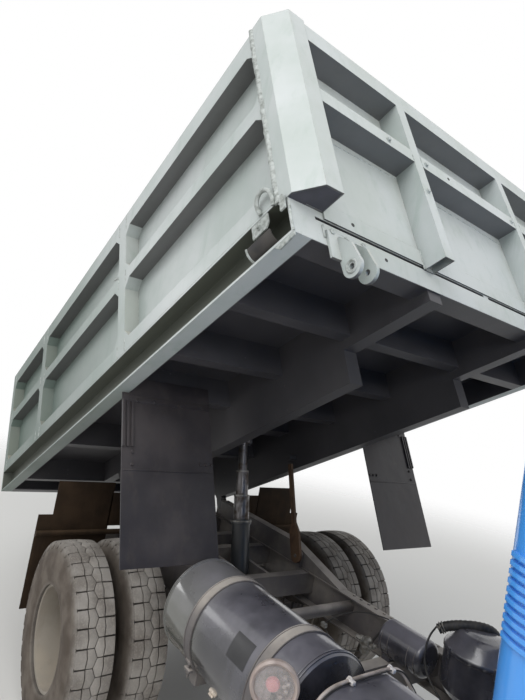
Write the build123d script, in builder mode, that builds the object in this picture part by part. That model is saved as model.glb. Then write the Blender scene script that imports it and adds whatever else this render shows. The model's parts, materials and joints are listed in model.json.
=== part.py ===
from build123d import *
import os

# A medium two-axle tipper: cab over the front axle, ladder frame, twin rear wheels
# and a welded steel bed that stands raised on a telescopic cylinder.
# X forward, Y to the left, Z up, ground at z = 0, millimetres.
os.makedirs("parts", exist_ok=True)

# Axles and tyres
rear_axle_x = -1029
wheelbase = 3200
front_axle_x = rear_axle_x + wheelbase
tyre_radius = 485
tyre_width = 235
tread_width = 184
tyre_wall = 22
rear_track = 1770
twin_spacing = 285
front_track = 1700
bead_radius = 254
rim_flange_radius = 282
rim_wall = 9
disc_thickness = 12
hub_radius = 95
drum_radius = 205
fit_gap = 0.3
wheel_offset = twin_spacing / 2

# Ladder frame
rail_outer_y = 430
rail_flange = 70
rail_height = 200
rail_wall = 8
rail_top_z = 865
frame_back_x = rear_axle_x - 905
frame_front_x = front_axle_x + 930
cross_member_height = 130
cross_member_flange = 60
cross_member_wall = 7
end_member_inset = 40

# Tipping subframe and bed hinge
hinge_x = rear_axle_x - 850
hinge_z = 950
hinge_boss_radius = 38
hinge_pin_radius = 18
subframe_top_z = 995
subframe_outer_y = 440
subframe_width = 70
subframe_ramp_start_x = rear_axle_x + 150
subframe_ramp_end_x = rear_axle_x + 640
rest_tip = 27.0

# Bed, in its lowered place
bed_back_x = rear_axle_x - 1745
bed_front_x = front_axle_x - 1200
bed_half_width = 1150
pocket_depth = 80
front_pocket_depth = 100
sill_bottom_z = 1210
floor_top_z = 1375
bed_top_z = 2240
floor_thickness = 8
floor_step = 3
floor_edge_gap = 2
sheet_thickness = 5
rail_face_height = 70
top_rail_height = 100
mid_rail_z = 1790
side_post_width = 90
front_post_width = 60
front_post_y = 430
gusset = 48
runner_outer_y = 465
runner_width = 80
runner_bottom_z = 1006
runner_front_x = bed_front_x - 470
cross_bearer_width = 60
side_post_x = (rear_axle_x + 695, rear_axle_x - 770)
flap_bearer_x = rear_axle_x + 600
cross_bearer_x = (bed_front_x - 445, bed_front_x - 922, flap_bearer_x, rear_axle_x - 330, bed_back_x + 445)

# Telescopic cylinder between the frame and the bed
cylinder_foot_x = rear_axle_x + 115
cylinder_foot_z = 730
cylinder_eye_x = rear_axle_x + 100
cylinder_eye_z = 1205
barrel_radius = 60
stage_wall_step = 10

# Cab
cab_back_x = front_axle_x - 940
cab_front_x = front_axle_x + 1030
cab_half_width = 1100
cab_roof_z = 2560
cab_back_bottom_z = 1040
cab_front_bottom_z = 700
cab_wall = 38
cab_corner_radius = 130
cab_front_radius = 170
cab_roof_radius = 95
cab_floor_z = 1120
cab_floor_thickness = 30
windscreen_foot_z = 1700
windscreen_top_x = front_axle_x + 700
arch_radius = 610
door_gap = 8
door_front_x = front_axle_x + 810
door_back_x = front_axle_x - 200
door_top_front_x = front_axle_x + 600
door_slope_z = 1720
door_bottom_z = 1160
door_top_z = 2440
door_corner_radius = 60
window_bottom_z = 1760
window_frame = 80
glass_thickness = 6


def tilted(piece, name):
    """Turn a piece of the bed about the rear hinge from lowered to its raised rest place."""
    hinge_line = Axis((hinge_x, 0, hinge_z), (0, -1, 0))
    turned = piece.rotate(hinge_line, rest_tip)
    turned.label = name
    return turned


# Frame: two channel rails joined by cross-members, one of them a tube.
frame_length = frame_front_x - frame_back_x
rail_web_inner_y = rail_outer_y - rail_wall
rail_mid_z = rail_top_z - rail_height / 2
cross_members = (
    # x, bottom z
    (frame_back_x + end_member_inset, rail_top_z - cross_member_height - rail_wall),
    (rear_axle_x - 420, rail_top_z - cross_member_height - rail_wall),
    (rear_axle_x - 165, rail_top_z - cross_member_height - rail_wall),
    (rear_axle_x + 330, rail_top_z - cross_member_height - rail_wall),
    (rear_axle_x + 1280, rail_top_z - cross_member_height - rail_wall),
    (front_axle_x + 560, rail_top_z - cross_member_height - rail_wall),
)
tube_member_x = rear_axle_x + 690
tube_member_z = 790
tube_member_radius = 32

with BuildPart() as frame:
    for side in (-1, 1):
        with BuildSketch(Plane.YZ.offset(frame_back_x)):
            with Locations((side * (rail_outer_y - rail_flange / 2), rail_mid_z)):
                Rectangle(rail_flange, rail_height)
            with Locations((side * (rail_outer_y - rail_wall - rail_flange / 2), rail_mid_z)):
                Rectangle(rail_flange, rail_height - 2 * rail_wall, mode=Mode.SUBTRACT)
        extrude(amount=frame_length)
    for x, bottom_z in cross_members:
        with BuildSketch(Plane.XZ.offset(-rail_web_inner_y)):
            with Locations((x, bottom_z + cross_member_height / 2)):
                Rectangle(cross_member_flange, cross_member_height)
            with Locations((x - cross_member_wall, bottom_z + cross_member_height / 2)):
                Rectangle(cross_member_flange, cross_member_height - 2 * cross_member_wall, mode=Mode.SUBTRACT)
        extrude(amount=2 * rail_web_inner_y)
    with BuildSketch(Plane.XZ.offset(-rail_web_inner_y)):
        with Locations((tube_member_x, tube_member_z)):
            Circle(tube_member_radius)
    extrude(amount=2 * rail_web_inner_y)
frame.part.label = "frame"
export_step(frame.part, "parts/frame.step")

# Subframe: a box rail on each frame rail, ramped at its front, with the hinge bosses at its back.
subframe_back_x = hinge_x + hinge_boss_radius + 12
boss_inner_y = 395
boss_outer_y = 425
with BuildPart() as subframe:
    for side in (-1, 1):
        start_y = side * subframe_outer_y - (subframe_width if side > 0 else 0)
        with BuildSketch(Plane.XZ.offset(-start_y - subframe_width)):
            with BuildLine():
                Polyline(
                    (subframe_back_x, rail_top_z),
                    (subframe_ramp_end_x, rail_top_z),
                    (subframe_ramp_start_x, subframe_top_z),
                    (subframe_back_x, subframe_top_z),
                    close=True,
                )
            make_face()
        extrude(amount=subframe_width)
        boss_y = side * (boss_inner_y + boss_outer_y) / 2
        boss_width = boss_outer_y - boss_inner_y
        with BuildSketch(Plane.XZ.offset(-boss_y - boss_width / 2)):
            with Locations((hinge_x, hinge_z)):
                Circle(hinge_boss_radius)
            with BuildLine():
                Polyline(
                    (hinge_x - hinge_boss_radius, hinge_z),
                    (subframe_back_x, hinge_z + hinge_boss_radius * 0.5),
                    (subframe_back_x, rail_top_z),
                    (hinge_x - hinge_boss_radius, rail_top_z),
                    close=True,
                )
            make_face()
            with Locations((hinge_x, hinge_z)):
                Circle(hinge_pin_radius + fit_gap, mode=Mode.SUBTRACT)
        extrude(amount=boss_width)
# Bracket and pin of the bed prop, on the left rail's inner side.
prop_pivot = Vector(rear_axle_x + 247, 343.8, 930)
prop_thickness = 18
prop_pin_radius = 11
prop_side_gap = 1.5
with BuildPart() as prop_bracket:
    with BuildSketch(Plane.XZ.offset(-subframe_outer_y + subframe_width)):
        with Locations((prop_pivot.X, (rail_top_z + prop_pivot.Z) / 2)):
            Rectangle(64, prop_pivot.Z - rail_top_z)
        with Locations((prop_pivot.X, prop_pivot.Z)):
            Circle(32)
    extrude(amount=subframe_outer_y - subframe_width - prop_pivot.Y - prop_side_gap)
    with BuildSketch(Plane.XZ.offset(-prop_pivot.Y - 10)):
        with Locations((prop_pivot.X, prop_pivot.Z)):
            Circle(prop_pin_radius)
    extrude(amount=prop_thickness + 14)
subframe.part = subframe.part + prop_bracket.part
subframe.part.label = "subframe"
export_step(subframe.part, "parts/subframe.step")

# Bed prop: a bar on the bracket's pin with a wide foot, leaning back under a lug of the bed's runner.
prop_elevation = 69
prop_length = 605
prop_width = 34
prop_foot_width = 92
prop_foot_length = 210
with BuildPart() as bed_prop:
    with BuildSketch(Plane.XZ.offset(-prop_pivot.Y)):
        with Locations((0, 0)):
            Circle(prop_foot_width / 2)
        with BuildLine():
            Polyline(
                (0, -prop_foot_width / 2),
                (prop_foot_length * 0.7, -prop_foot_width / 2),
                (prop_foot_length, -prop_width / 2),
                (prop_length, -prop_width / 2),
                (prop_length, prop_width / 2),
                (prop_foot_length, prop_width / 2),
                (prop_foot_length * 0.7, prop_foot_width / 2),
                (0, prop_foot_width / 2),
                close=True,
            )
        make_face()
        Circle(prop_pin_radius + fit_gap, mode=Mode.SUBTRACT)
    extrude(amount=prop_thickness)
bed_prop.part = bed_prop.part.rotate(Axis.Y, prop_elevation - 180)
bed_prop.part = bed_prop.part.moved(Location((prop_pivot.X, 0, prop_pivot.Z)))
bed_prop.part.label = "bed_prop"
export_step(bed_prop.part, "parts/bed_prop.step")

# Cylinder cradle: two bearing plates between cross-members, bored for the barrel's trunnions.
cradle_back_x = cross_members[2][0] + cross_member_flange / 2 + fit_gap
cradle_front_x = cross_members[3][0] - cross_member_flange / 2 - fit_gap
cradle_half_gap = 82
cradle_plate = 22
trunnion_radius = 24
with BuildPart() as cradle:
    for side in (-1, 1):
        middle_y = side * (cradle_half_gap + cradle_plate / 2)
        with BuildSketch(Plane.XZ.offset(-middle_y - cradle_plate / 2)):
            with BuildLine():
                Polyline(
                    (cradle_back_x, rail_top_z - 20),
                    (cradle_back_x, rail_top_z - 110),
                    (cylinder_foot_x - 60, cylinder_foot_z - 45),
                    (cylinder_foot_x + 60, cylinder_foot_z - 45),
                    (cradle_front_x, rail_top_z - 110),
                    (cradle_front_x, rail_top_z - 20),
                    close=True,
                )
            make_face()
            with Locations((cylinder_foot_x, cylinder_foot_z)):
                Circle(trunnion_radius + fit_gap, mode=Mode.SUBTRACT)
        extrude(amount=cradle_plate)
cradle.part.label = "cylinder_cradle"
export_step(cradle.part, "parts/cylinder_cradle.step")

# Front bumper: a channel with turned-back ends.
bumper_height = 185
bumper_bottom_z = 480
bumper_half_width = 1130
bumper_back_x = frame_front_x + fit_gap
bumper_depth = 160
bumper_bracket_depth = 50
with BuildPart() as bumper:
    with BuildSketch(Plane.XY.offset(bumper_bottom_z)):
        with BuildLine():
            Polyline(
                (bumper_back_x - 160, -bumper_half_width),
                (bumper_back_x + 10, -bumper_half_width),
                (bumper_back_x + bumper_depth, -bumper_half_width + 170),
                (bumper_back_x + bumper_depth, bumper_half_width - 170),
                (bumper_back_x + 10, bumper_half_width),
                (bumper_back_x - 160, bumper_half_width),
                (bumper_back_x - 160, bumper_half_width - 8),
                (bumper_back_x + 6, bumper_half_width - 8),
                (bumper_back_x + bumper_depth - 10, bumper_half_width - 176),
                (bumper_back_x + bumper_depth - 10, -bumper_half_width + 176),
                (bumper_back_x + 6, -bumper_half_width + 8),
                (bumper_back_x - 160, -bumper_half_width + 8),
                close=True,
            )
        make_face()
    extrude(amount=bumper_height)
    # Two brackets seat it on the rail ends.
    for side in (-1, 1):
        bracket_y = side * (rail_outer_y - rail_flange / 2)
        with BuildSketch(Plane.XY.offset(bumper_bottom_z)):
            with Locations((bumper_back_x + bumper_depth / 2, bracket_y)):
                Rectangle(bumper_depth, rail_flange)
        extrude(amount=bumper_height)
        with BuildSketch(Plane.XY.offset(bumper_bottom_z)):
            with Locations((bumper_back_x + bumper_bracket_depth / 2, bracket_y)):
                Rectangle(bumper_bracket_depth, rail_flange)
        extrude(amount=rail_top_z - bumper_bottom_z - 30)
bumper.part.label = "front_bumper"
export_step(bumper.part, "parts/front_bumper.step")

# Front axle: a forged beam dropped in the middle, with an eye for each kingpin.
kingpin_y = front_track / 2 - 105
kingpin_radius = 21
beam_height = 75
beam_width = 60
beam_eye_radius = 42
axle_z = tyre_radius
beam_drop = 70
front_spring_y = rail_outer_y - rail_flange / 2 - 6
front_pad_height = 8
spring_width = 72
seat_half_length = 75
with BuildPart() as front_axle:
    with BuildSketch(Plane.YZ.offset(front_axle_x - beam_width / 2)):
        with BuildLine():
            Polyline(
                (-kingpin_y, axle_z - beam_height / 2),
                (-kingpin_y + 130, axle_z - beam_height / 2),
                (-kingpin_y + 250, axle_z - beam_drop - beam_height / 2),
                (kingpin_y - 250, axle_z - beam_drop - beam_height / 2),
                (kingpin_y - 130, axle_z - beam_height / 2),
                (kingpin_y, axle_z - beam_height / 2),
                (kingpin_y, axle_z + beam_height / 2),
                (kingpin_y - 130, axle_z + beam_height / 2),
                (kingpin_y - 250, axle_z - beam_drop + beam_height / 2),
                (-kingpin_y + 250, axle_z - beam_drop + beam_height / 2),
                (-kingpin_y + 130, axle_z + beam_height / 2),
                (-kingpin_y, axle_z + beam_height / 2),
                close=True,
            )
        make_face()
    extrude(amount=beam_width)
    for side in (-1, 1):
        with BuildSketch(Plane.XY.offset(axle_z - beam_height / 2)):
            with Locations((front_axle_x, side * kingpin_y)):
                Circle(beam_eye_radius)
        extrude(amount=beam_height)
        with BuildSketch(Plane.XY.offset(axle_z - beam_height / 2)):
            with Locations((front_axle_x, side * kingpin_y)):
                Circle(kingpin_radius + fit_gap)
        extrude(amount=beam_height, mode=Mode.SUBTRACT)
        with BuildSketch(Plane.XY.offset(axle_z - beam_drop + beam_height / 2)):
            with Locations((front_axle_x, side * front_spring_y)):
                Rectangle(2 * seat_half_length, spring_width + 10)
        extrude(amount=front_pad_height)
front_axle.part.label = "front_axle"
export_step(front_axle.part, "parts/front_axle.step")

# Rear axle: a turned banjo housing with the differential bulge and spring seats.
rear_spring_y = 505
housing_radius = 58
bulge_radius = 152
nose_radius = 55
nose_length = 75
nose_rise = 30
spindle_radius = 40
hub_cap_reach = 105
rear_drum_y = rear_track / 2 - wheel_offset - 95
rear_seat_top_z = axle_z + housing_radius + 12
with BuildPart() as rear_axle:
    with BuildSketch(Plane.XY):
        with BuildLine():
            Polyline(
                (0, 0),
                (bulge_radius, 0),
                (bulge_radius, 60),
                (bulge_radius - 25, 105),
                (housing_radius + 20, 190),
                (housing_radius, 300),
                (housing_radius, rear_drum_y - 45),
                (housing_radius + 30, rear_drum_y - 40),
                (housing_radius + 30, rear_drum_y - 10),
                (spindle_radius, rear_drum_y - 10),
                (spindle_radius, rear_track / 2 + hub_cap_reach - 30),
                (0, rear_track / 2 + hub_cap_reach - 30),
                close=True,
            )
        make_face()
    revolve(axis=Axis.Y)
    mirror(about=Plane.XZ)
rear_axle.part = rear_axle.part.moved(Location((rear_axle_x, 0, axle_z)))
with BuildPart() as axle_lugs:
    for side in (-1, 1):
        with BuildSketch(Plane.XY.offset(rear_seat_top_z - 24)):
            with Locations((rear_axle_x, side * rear_spring_y)):
                Rectangle(2 * seat_half_length, spring_width + 20)
        extrude(amount=24)
    with BuildSketch(Plane.YZ.offset(rear_axle_x + bulge_radius - 60)):
        with Locations((0, axle_z + nose_rise)):
            Circle(nose_radius)
    extrude(amount=60 + nose_length)
rear_axle.part = rear_axle.part + axle_lugs.part
rear_axle.part.label = "rear_axle"
export_step(rear_axle.part, "parts/rear_axle.step")


def leaf_spring(centre_x, centre_y, top_z, half_length, leaf_count):
    """A pack of concentric leaves, each shorter below."""
    centre_z = top_z + camber
    with BuildPart() as pack:
        for index in range(leaf_count):
            outer = camber + index * leaf_thickness
            reach = half_length * (1 - index / (leaf_count + 1.0))
            with BuildSketch(Plane.XZ.offset(-centre_y - spring_width / 2)):
                with Locations((centre_x, centre_z)):
                    Circle(outer + leaf_thickness)
                    Circle(outer, mode=Mode.SUBTRACT)
                with Locations((centre_x, top_z)):
                    Rectangle(2 * reach, camber / 2, mode=Mode.INTERSECT)
            extrude(amount=spring_width)
    return pack.part


# Leaf springs: a pack over each end of both axles, hung from brackets under the rails.
leaf_thickness = 11
camber = 2600
eye_radius = 26
front_seat_top_z = axle_z - beam_drop + beam_height / 2 + front_pad_height
leaf_packs = (
    # axle x, side distance y, top of the seat, half length, leaves
    (rear_axle_x, rear_spring_y, rear_seat_top_z, 620, 9),
    (front_axle_x, front_spring_y, front_seat_top_z, 600, 7),
)
with BuildPart() as springs:
    for axle_x, spring_y, seat_top_z, half_length, leaves in leaf_packs:
        top_z = seat_top_z + fit_gap + leaves * leaf_thickness
        end_rise = camber - (camber ** 2 - half_length ** 2) ** 0.5
        for side in (-1, 1):
            add(leaf_spring(axle_x, side * spring_y, top_z, half_length, leaves))
            for end in (-1, 1):
                eye_x = axle_x + end * half_length
                eye_z = top_z + end_rise + 4
                with BuildSketch(Plane.XZ.offset(-side * spring_y - spring_width / 2)):
                    with Locations((eye_x, eye_z)):
                        Circle(eye_radius)
                extrude(amount=spring_width)
                hanger_y = side * (rail_outer_y - rail_flange / 2)
                low_y = min(side * spring_y - spring_width / 2, hanger_y - rail_flange / 2)
                high_y = max(side * spring_y + spring_width / 2, hanger_y + rail_flange / 2)
                hanger_top = rail_top_z - rail_height - fit_gap
                if spring_y > rail_outer_y:
                    hanger_top = rail_top_z - 90
                    near_y = side * (rail_outer_y + fit_gap)
                    far_y = side * (spring_y + spring_width / 2)
                    low_y, high_y = min(near_y, far_y), max(near_y, far_y)
                with BuildSketch(Plane.XY.offset(eye_z)):
                    with Locations((eye_x, (low_y + high_y) / 2)):
                        Rectangle(46, high_y - low_y)
                extrude(amount=hanger_top - eye_z)
springs.part.label = "leaf_springs"
export_step(springs.part, "parts/leaf_springs.step")

# Engine and gearbox: a plain heavy block between the rails, with its gearbox behind it.
engine_front_x = front_axle_x + 520
engine_back_x = front_axle_x - 560
gearbox_back_x = engine_back_x - 620
with BuildPart() as engine:
    with BuildSketch(Plane.XY.offset(560)):
        with Locations(((engine_front_x + engine_back_x) / 2, 0)):
            Rectangle(engine_front_x - engine_back_x, 520)
    extrude(amount=620)
    with BuildSketch(Plane.YZ.offset(gearbox_back_x)):
        with Locations((0, 800)):
            Circle(120)
    extrude(amount=engine_back_x - gearbox_back_x)
    with BuildSketch(Plane.YZ.offset(engine_back_x - 170)):
        with Locations((0, 800)):
            Circle(190)
    extrude(amount=170)
    # Feet reach out into the channel rails.
    for foot_x in (engine_back_x + 160, engine_front_x - 160):
        with BuildSketch(Plane.XZ.offset(-rail_web_inner_y + fit_gap)):
            with Locations((foot_x, rail_mid_z)):
                Rectangle(90, 60)
        extrude(amount=2 * (rail_web_inner_y - fit_gap))
engine.part.label = "engine"
export_step(engine.part, "parts/engine.step")

# Propeller shaft from the gearbox down to the differential nose.
shaft_radius = 36
shaft_start = Vector(gearbox_back_x - 6, 0, 800)
shaft_flange_radius = 62
shaft_end = Vector(rear_axle_x + bulge_radius + nose_length + 10.5, 0, axle_z + nose_rise)
shaft_run = shaft_end - shaft_start
with BuildPart() as prop_shaft:
    with BuildSketch(Plane(origin=shaft_start, z_dir=shaft_run)):
        Circle(shaft_radius)
    extrude(amount=shaft_run.length)
    with BuildSketch(Plane(origin=shaft_end - shaft_run.normalized() * 60, z_dir=shaft_run)):
        Circle(shaft_flange_radius)
    extrude(amount=60)
    with BuildSketch(Plane(origin=shaft_start + shaft_run.normalized() * 6, z_dir=shaft_run)):
        Circle(shaft_flange_radius)
    extrude(amount=54)
prop_shaft.part.label = "prop_shaft"
export_step(prop_shaft.part, "parts/prop_shaft.step")

# Exhaust: pipe from the engine's back under the left rail to a silencer, and a short tail pipe.
silencer_front_x = front_axle_x - 750
silencer_length = 540
silencer_radius = 86
silencer_y = 620
silencer_z = 640
pipe_radius = 26
pipe_end_y = 232
with BuildPart() as exhaust:
    with BuildSketch(Plane.YZ.offset(silencer_front_x - silencer_length)) as silencer_end:
        with Locations((silencer_y, silencer_z)):
            Circle(silencer_radius)
    extrude(amount=silencer_length)
    with BuildLine():
        FilletPolyline(
            (silencer_front_x - 20, silencer_y, silencer_z),
            (silencer_front_x + 80, silencer_y, silencer_z),
            (silencer_front_x + 80, pipe_end_y, silencer_z - 18),
            (engine_back_x - fit_gap, pipe_end_y, silencer_z - 18),
            radius=48,
        )
    with BuildSketch(Plane.YZ.offset(silencer_front_x - 20)):
        with Locations((silencer_y, silencer_z)):
            Circle(pipe_radius)
    sweep()
    with BuildSketch(Plane.YZ.offset(silencer_front_x - silencer_length - 150)):
        with Locations((silencer_y, silencer_z - 20)):
            Circle(pipe_radius)
    extrude(amount=170)
    # Two hangers seat the silencer on the rail.
    for hanger_x in (silencer_front_x - 120, silencer_front_x - silencer_length + 120):
        with BuildSketch(Plane.YZ.offset(hanger_x - 20)):
            with Locations(((rail_outer_y + fit_gap + silencer_y) / 2, silencer_z + silencer_radius + 10)):
                Rectangle(silencer_y - rail_outer_y - fit_gap, 30)
            with Locations((silencer_y - 20, silencer_z + silencer_radius - 8)):
                Rectangle(40, 40)
        extrude(amount=40)
exhaust.part.label = "exhaust"
export_step(exhaust.part, "parts/exhaust.step")

# Air reservoir: a small drum lying along the truck on the middle cross-member.
reservoir_radius = 80
reservoir_length = 235
reservoir_back_x = rear_axle_x + 1235
reservoir_y = 70
reservoir_bottom_z = rail_top_z - rail_wall + 8
with BuildPart() as reservoir:
    with BuildSketch(Plane.YZ.offset(reservoir_back_x)) as reservoir_end:
        with Locations((reservoir_y, reservoir_bottom_z + reservoir_radius)):
            Circle(reservoir_radius)
    extrude(amount=reservoir_length)
    fillet(reservoir.edges(), radius=22)
    with BuildSketch(Plane.XY.offset(rail_top_z - rail_wall + fit_gap)):
        with Locations((cross_members[4][0], reservoir_y)):
            Rectangle(44, 100)
    extrude(amount=24)
reservoir.part.label = "air_reservoir"
export_step(reservoir.part, "parts/air_reservoir.step")

# Fuel tank: a drum with domed ends lying beside the right rail.
tank_radius = 203
tank_y = -692
tank_z = 968
tank_back_x = rear_axle_x + 750
box_back_x = front_axle_x - 1510
box_front_x = front_axle_x - 1090
tank_length = box_back_x - 65 - tank_back_x
tank_dome = 26
with BuildPart() as tank:
    with BuildSketch(Plane.XZ):
        with BuildLine():
            Polyline(
                (0, 0),
                (0, tank_radius * 0.55),
                (tank_dome, tank_radius - 8),
                (tank_dome + 10, tank_radius),
                (tank_length - tank_dome - 10, tank_radius),
                (tank_length - tank_dome, tank_radius - 8),
                (tank_length, tank_radius * 0.55),
                (tank_length, 0),
                close=True,
            )
        make_face()
    revolve(axis=Axis.X)
tank.part = tank.part.moved(Location((tank_back_x, tank_y, tank_z)))
tank.part.label = "fuel_tank"
export_step(tank.part, "parts/fuel_tank.step")

# Tank straps, each with a bracket that seats it on the rail.
strap_width = 50
strap_thickness = 4
strap_x = (tank_back_x + tank_length * 0.3, tank_back_x + tank_length * 0.784)
with BuildPart() as straps:
    for x in strap_x:
        with BuildSketch(Plane.YZ.offset(x - strap_width / 2)):
            with Locations((tank_y, tank_z)):
                Circle(tank_radius + fit_gap + strap_thickness)
            with Locations((tank_y, tank_z - tank_radius * 0.72)):
                Rectangle(2 * tank_radius * 0.72, 2 * strap_width)
            with Locations(((tank_y - rail_outer_y) / 2, tank_z - tank_radius * 0.72 - 20)):
                Rectangle(-tank_y - rail_outer_y - 2 * fit_gap, 60)
            with Locations((-rail_outer_y - 12 - fit_gap, rail_mid_z)):
                Rectangle(24, rail_height - 20)
            with Locations((tank_y, tank_z)):
                Circle(tank_radius + fit_gap, mode=Mode.SUBTRACT)
        extrude(amount=strap_width)
straps.part.label = "tank_straps"
export_step(straps.part, "parts/tank_straps.step")

# Air filter: a black canister behind the engine with an elbow hose running forward.
filter_radius = 150
filter_x = front_axle_x - 1560
filter_y = 170
filter_bottom_z = 872
filter_top_z = 1120
with BuildPart() as air_filter:
    with BuildSketch(Plane.XZ):
        with BuildLine():
            Polyline(
                (0, filter_bottom_z),
                (filter_radius - 25, filter_bottom_z),
                (filter_radius, filter_bottom_z + 30),
                (filter_radius, filter_top_z - 60),
                (filter_radius - 40, filter_top_z - 12),
                (0, filter_top_z),
                close=True,
            )
        make_face()
    revolve(axis=Axis.Z)
air_filter.part = air_filter.part.moved(Location((filter_x, filter_y, 0)))
with BuildPart() as filter_bracket:
    with BuildSketch(Plane.XY.offset(rail_top_z + fit_gap)):
        with Locations((filter_x, (filter_y + rail_outer_y) / 2)):
            Rectangle(80, rail_outer_y - filter_y)
    extrude(amount=filter_bottom_z - rail_top_z - fit_gap + 2)
air_filter.part = air_filter.part + filter_bracket.part
air_filter.part.label = "air_filter"
export_step(air_filter.part, "parts/air_filter.step")

# Battery box with a rounded lid, outside the right rail behind the cab.
box_inner_y = 462
box_outer_y = 880
box_bottom_z = 700
box_top_z = 1140
with BuildPart() as battery_box:
    with BuildSketch(Plane.YZ.offset(box_back_x)) as box_section:
        with Locations((-(box_inner_y + box_outer_y) / 2, (box_bottom_z + box_top_z) / 2)):
            Rectangle(box_outer_y - box_inner_y, box_top_z - box_bottom_z)
        fillet(box_section.vertices().group_by(Axis.Y)[-1], radius=110)
    extrude(amount=box_front_x - box_back_x)
    with BuildSketch(Plane.YZ.offset(box_back_x + 40)):
        with Locations((-(box_inner_y + 10 + rail_outer_y + fit_gap) / 2, rail_mid_z + 15)):
            Rectangle(box_inner_y + 10 - rail_outer_y - fit_gap, 120)
    extrude(amount=box_front_x - box_back_x - 80)
battery_box.part.label = "battery_box"
export_step(battery_box.part, "parts/battery_box.step")

# Work lamp: a round bowl on a stalk outside the tank, facing forward and outward.
lamp_centre = Vector(box_back_x - 105, -927, 1110)
lamp_turn = -42
lamp_radius = 74
lamp_depth = 48
lamp_rim_depth = 8
stalk_radius = 8
stalk_offset = Vector(-8, 8, 0)
arm_z = 850
arm_height = 12
arm_thickness = 32
lamp_face = Plane(origin=lamp_centre, x_dir=(0, 0, 1), z_dir=Vector(1, 0, 0).rotate(Axis.Z, lamp_turn))
with BuildPart() as work_lamp:
    with BuildSketch(lamp_face):
        Circle(lamp_radius)
    with BuildSketch(lamp_face.offset(-lamp_depth)):
        Circle(lamp_radius * 0.45)
    loft()
    with BuildSketch(lamp_face):
        Circle(lamp_radius)
    extrude(amount=lamp_rim_depth)
    with BuildSketch(Plane.XY.offset(arm_z)):
        with Locations((lamp_centre.X + stalk_offset.X, lamp_centre.Y + stalk_offset.Y)):
            Circle(stalk_radius)
    extrude(amount=lamp_centre.Z - arm_z)
    arm_back_x = lamp_centre.X + stalk_offset.X - 16
    arm_front_x = box_back_x + 70
    with BuildSketch(Plane.XY.offset(arm_z - arm_height / 2)):
        with Locations(((arm_back_x + arm_front_x) / 2, -box_outer_y - fit_gap - arm_thickness / 2)):
            Rectangle(arm_front_x - arm_back_x, arm_thickness)
    extrude(amount=arm_height)
work_lamp.part.label = "work_lamp"
export_step(work_lamp.part, "parts/work_lamp.step")

# Mudflaps behind the rear wheels, hung from a bar out of each rail.
flap_sheet = 6
rear_flap_x = rear_axle_x - 660
rear_flap_inner_y = 640
rear_flap_outer_y = 1115
rear_flap_bottom_z = 330
rear_flap_shoulder_z = 930
rear_flap_neck_y = 1025
rear_flap_top_z = 1150
flap_bar_z = 815
flap_bar_radius = 18
with BuildPart() as rear_flaps:
    for side in (-1, 1):
        low_y = min(side * (rail_outer_y + fit_gap), side * rear_flap_outer_y)
        bar_length = rear_flap_outer_y - rail_outer_y - fit_gap
        with BuildSketch(Plane.XZ.offset(-low_y - bar_length)):
            with Locations((rear_flap_x + flap_sheet / 2 + flap_bar_radius, flap_bar_z)):
                Circle(flap_bar_radius)
        extrude(amount=bar_length)
        with BuildSketch(Plane.YZ.offset(rear_flap_x - flap_sheet / 2)):
            middle_y = side * (rear_flap_inner_y + rear_flap_outer_y) / 2
            with Locations((middle_y, (rear_flap_bottom_z + rear_flap_shoulder_z) / 2)):
                Rectangle(rear_flap_outer_y - rear_flap_inner_y, rear_flap_shoulder_z - rear_flap_bottom_z)
            neck_middle_y = side * (rear_flap_inner_y + rear_flap_neck_y) / 2
            with Locations((neck_middle_y, (rear_flap_shoulder_z + rear_flap_top_z) / 2)):
                Rectangle(rear_flap_neck_y - rear_flap_inner_y, rear_flap_top_z - rear_flap_shoulder_z)
        extrude(amount=flap_sheet)
rear_flaps.part.label = "rear_flaps"
export_step(rear_flaps.part, "parts/rear_flaps.step")

# Rear lamp bar across the frame's end, and a jaw for a tow pin below it.
lamp_bar_z = 690
lamp_bar_size = 60
lamp_box = (50, 250, 105)
with BuildPart() as rear_lamps:
    with BuildSketch(Plane.XZ.offset(-1020)):
        with Locations((frame_back_x - lamp_bar_size / 2 - fit_gap, lamp_bar_z)):
            Rectangle(lamp_bar_size, lamp_bar_size)
    extrude(amount=2040)
    for side in (-1, 1):
        with Locations((frame_back_x - lamp_bar_size - lamp_box[0] / 2, side * 880, lamp_bar_z)):
            Box(lamp_box[0], lamp_box[1], lamp_box[2])
rear_lamps.part.label = "rear_lamps"
export_step(rear_lamps.part, "parts/rear_lamps.step")

jaw_pin_radius = 20
jaw_gap = 70
jaw_plate = 18
jaw_z = 790
jaw_length = 150
jaw_width = 120
with BuildPart() as tow_jaw:
    for level in (-1, 1):
        with BuildSketch(Plane.XY.offset(jaw_z + level * (jaw_gap + jaw_plate) / 2 - jaw_plate / 2)):
            with Locations((frame_back_x - fit_gap - jaw_length / 2 + jaw_width / 4, 0)):
                Rectangle(jaw_length - jaw_width / 2, jaw_width)
            with Locations((frame_back_x - fit_gap - jaw_length + jaw_width / 2, 0)):
                Circle(jaw_width / 2)
                Circle(jaw_pin_radius, mode=Mode.SUBTRACT)
        extrude(amount=jaw_plate)
    with BuildSketch(Plane.XY.offset(jaw_z - jaw_gap / 2)):
        with Locations((frame_back_x - fit_gap - 15, 0)):
            Rectangle(30, jaw_width)
    extrude(amount=jaw_gap)
    with BuildSketch(Plane.YZ.offset(frame_back_x - fit_gap)):
        with Locations((0, jaw_z)):
            Rectangle(jaw_width + 40, cross_member_height - 20)
    extrude(amount=end_member_inset + cross_member_flange / 2 - cross_member_wall)
tow_jaw.part.label = "tow_jaw"
export_step(tow_jaw.part, "parts/tow_jaw.step")

# Rim section, turned about the wheel's axis: radius and side distance.
rim_half_width = 92


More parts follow.
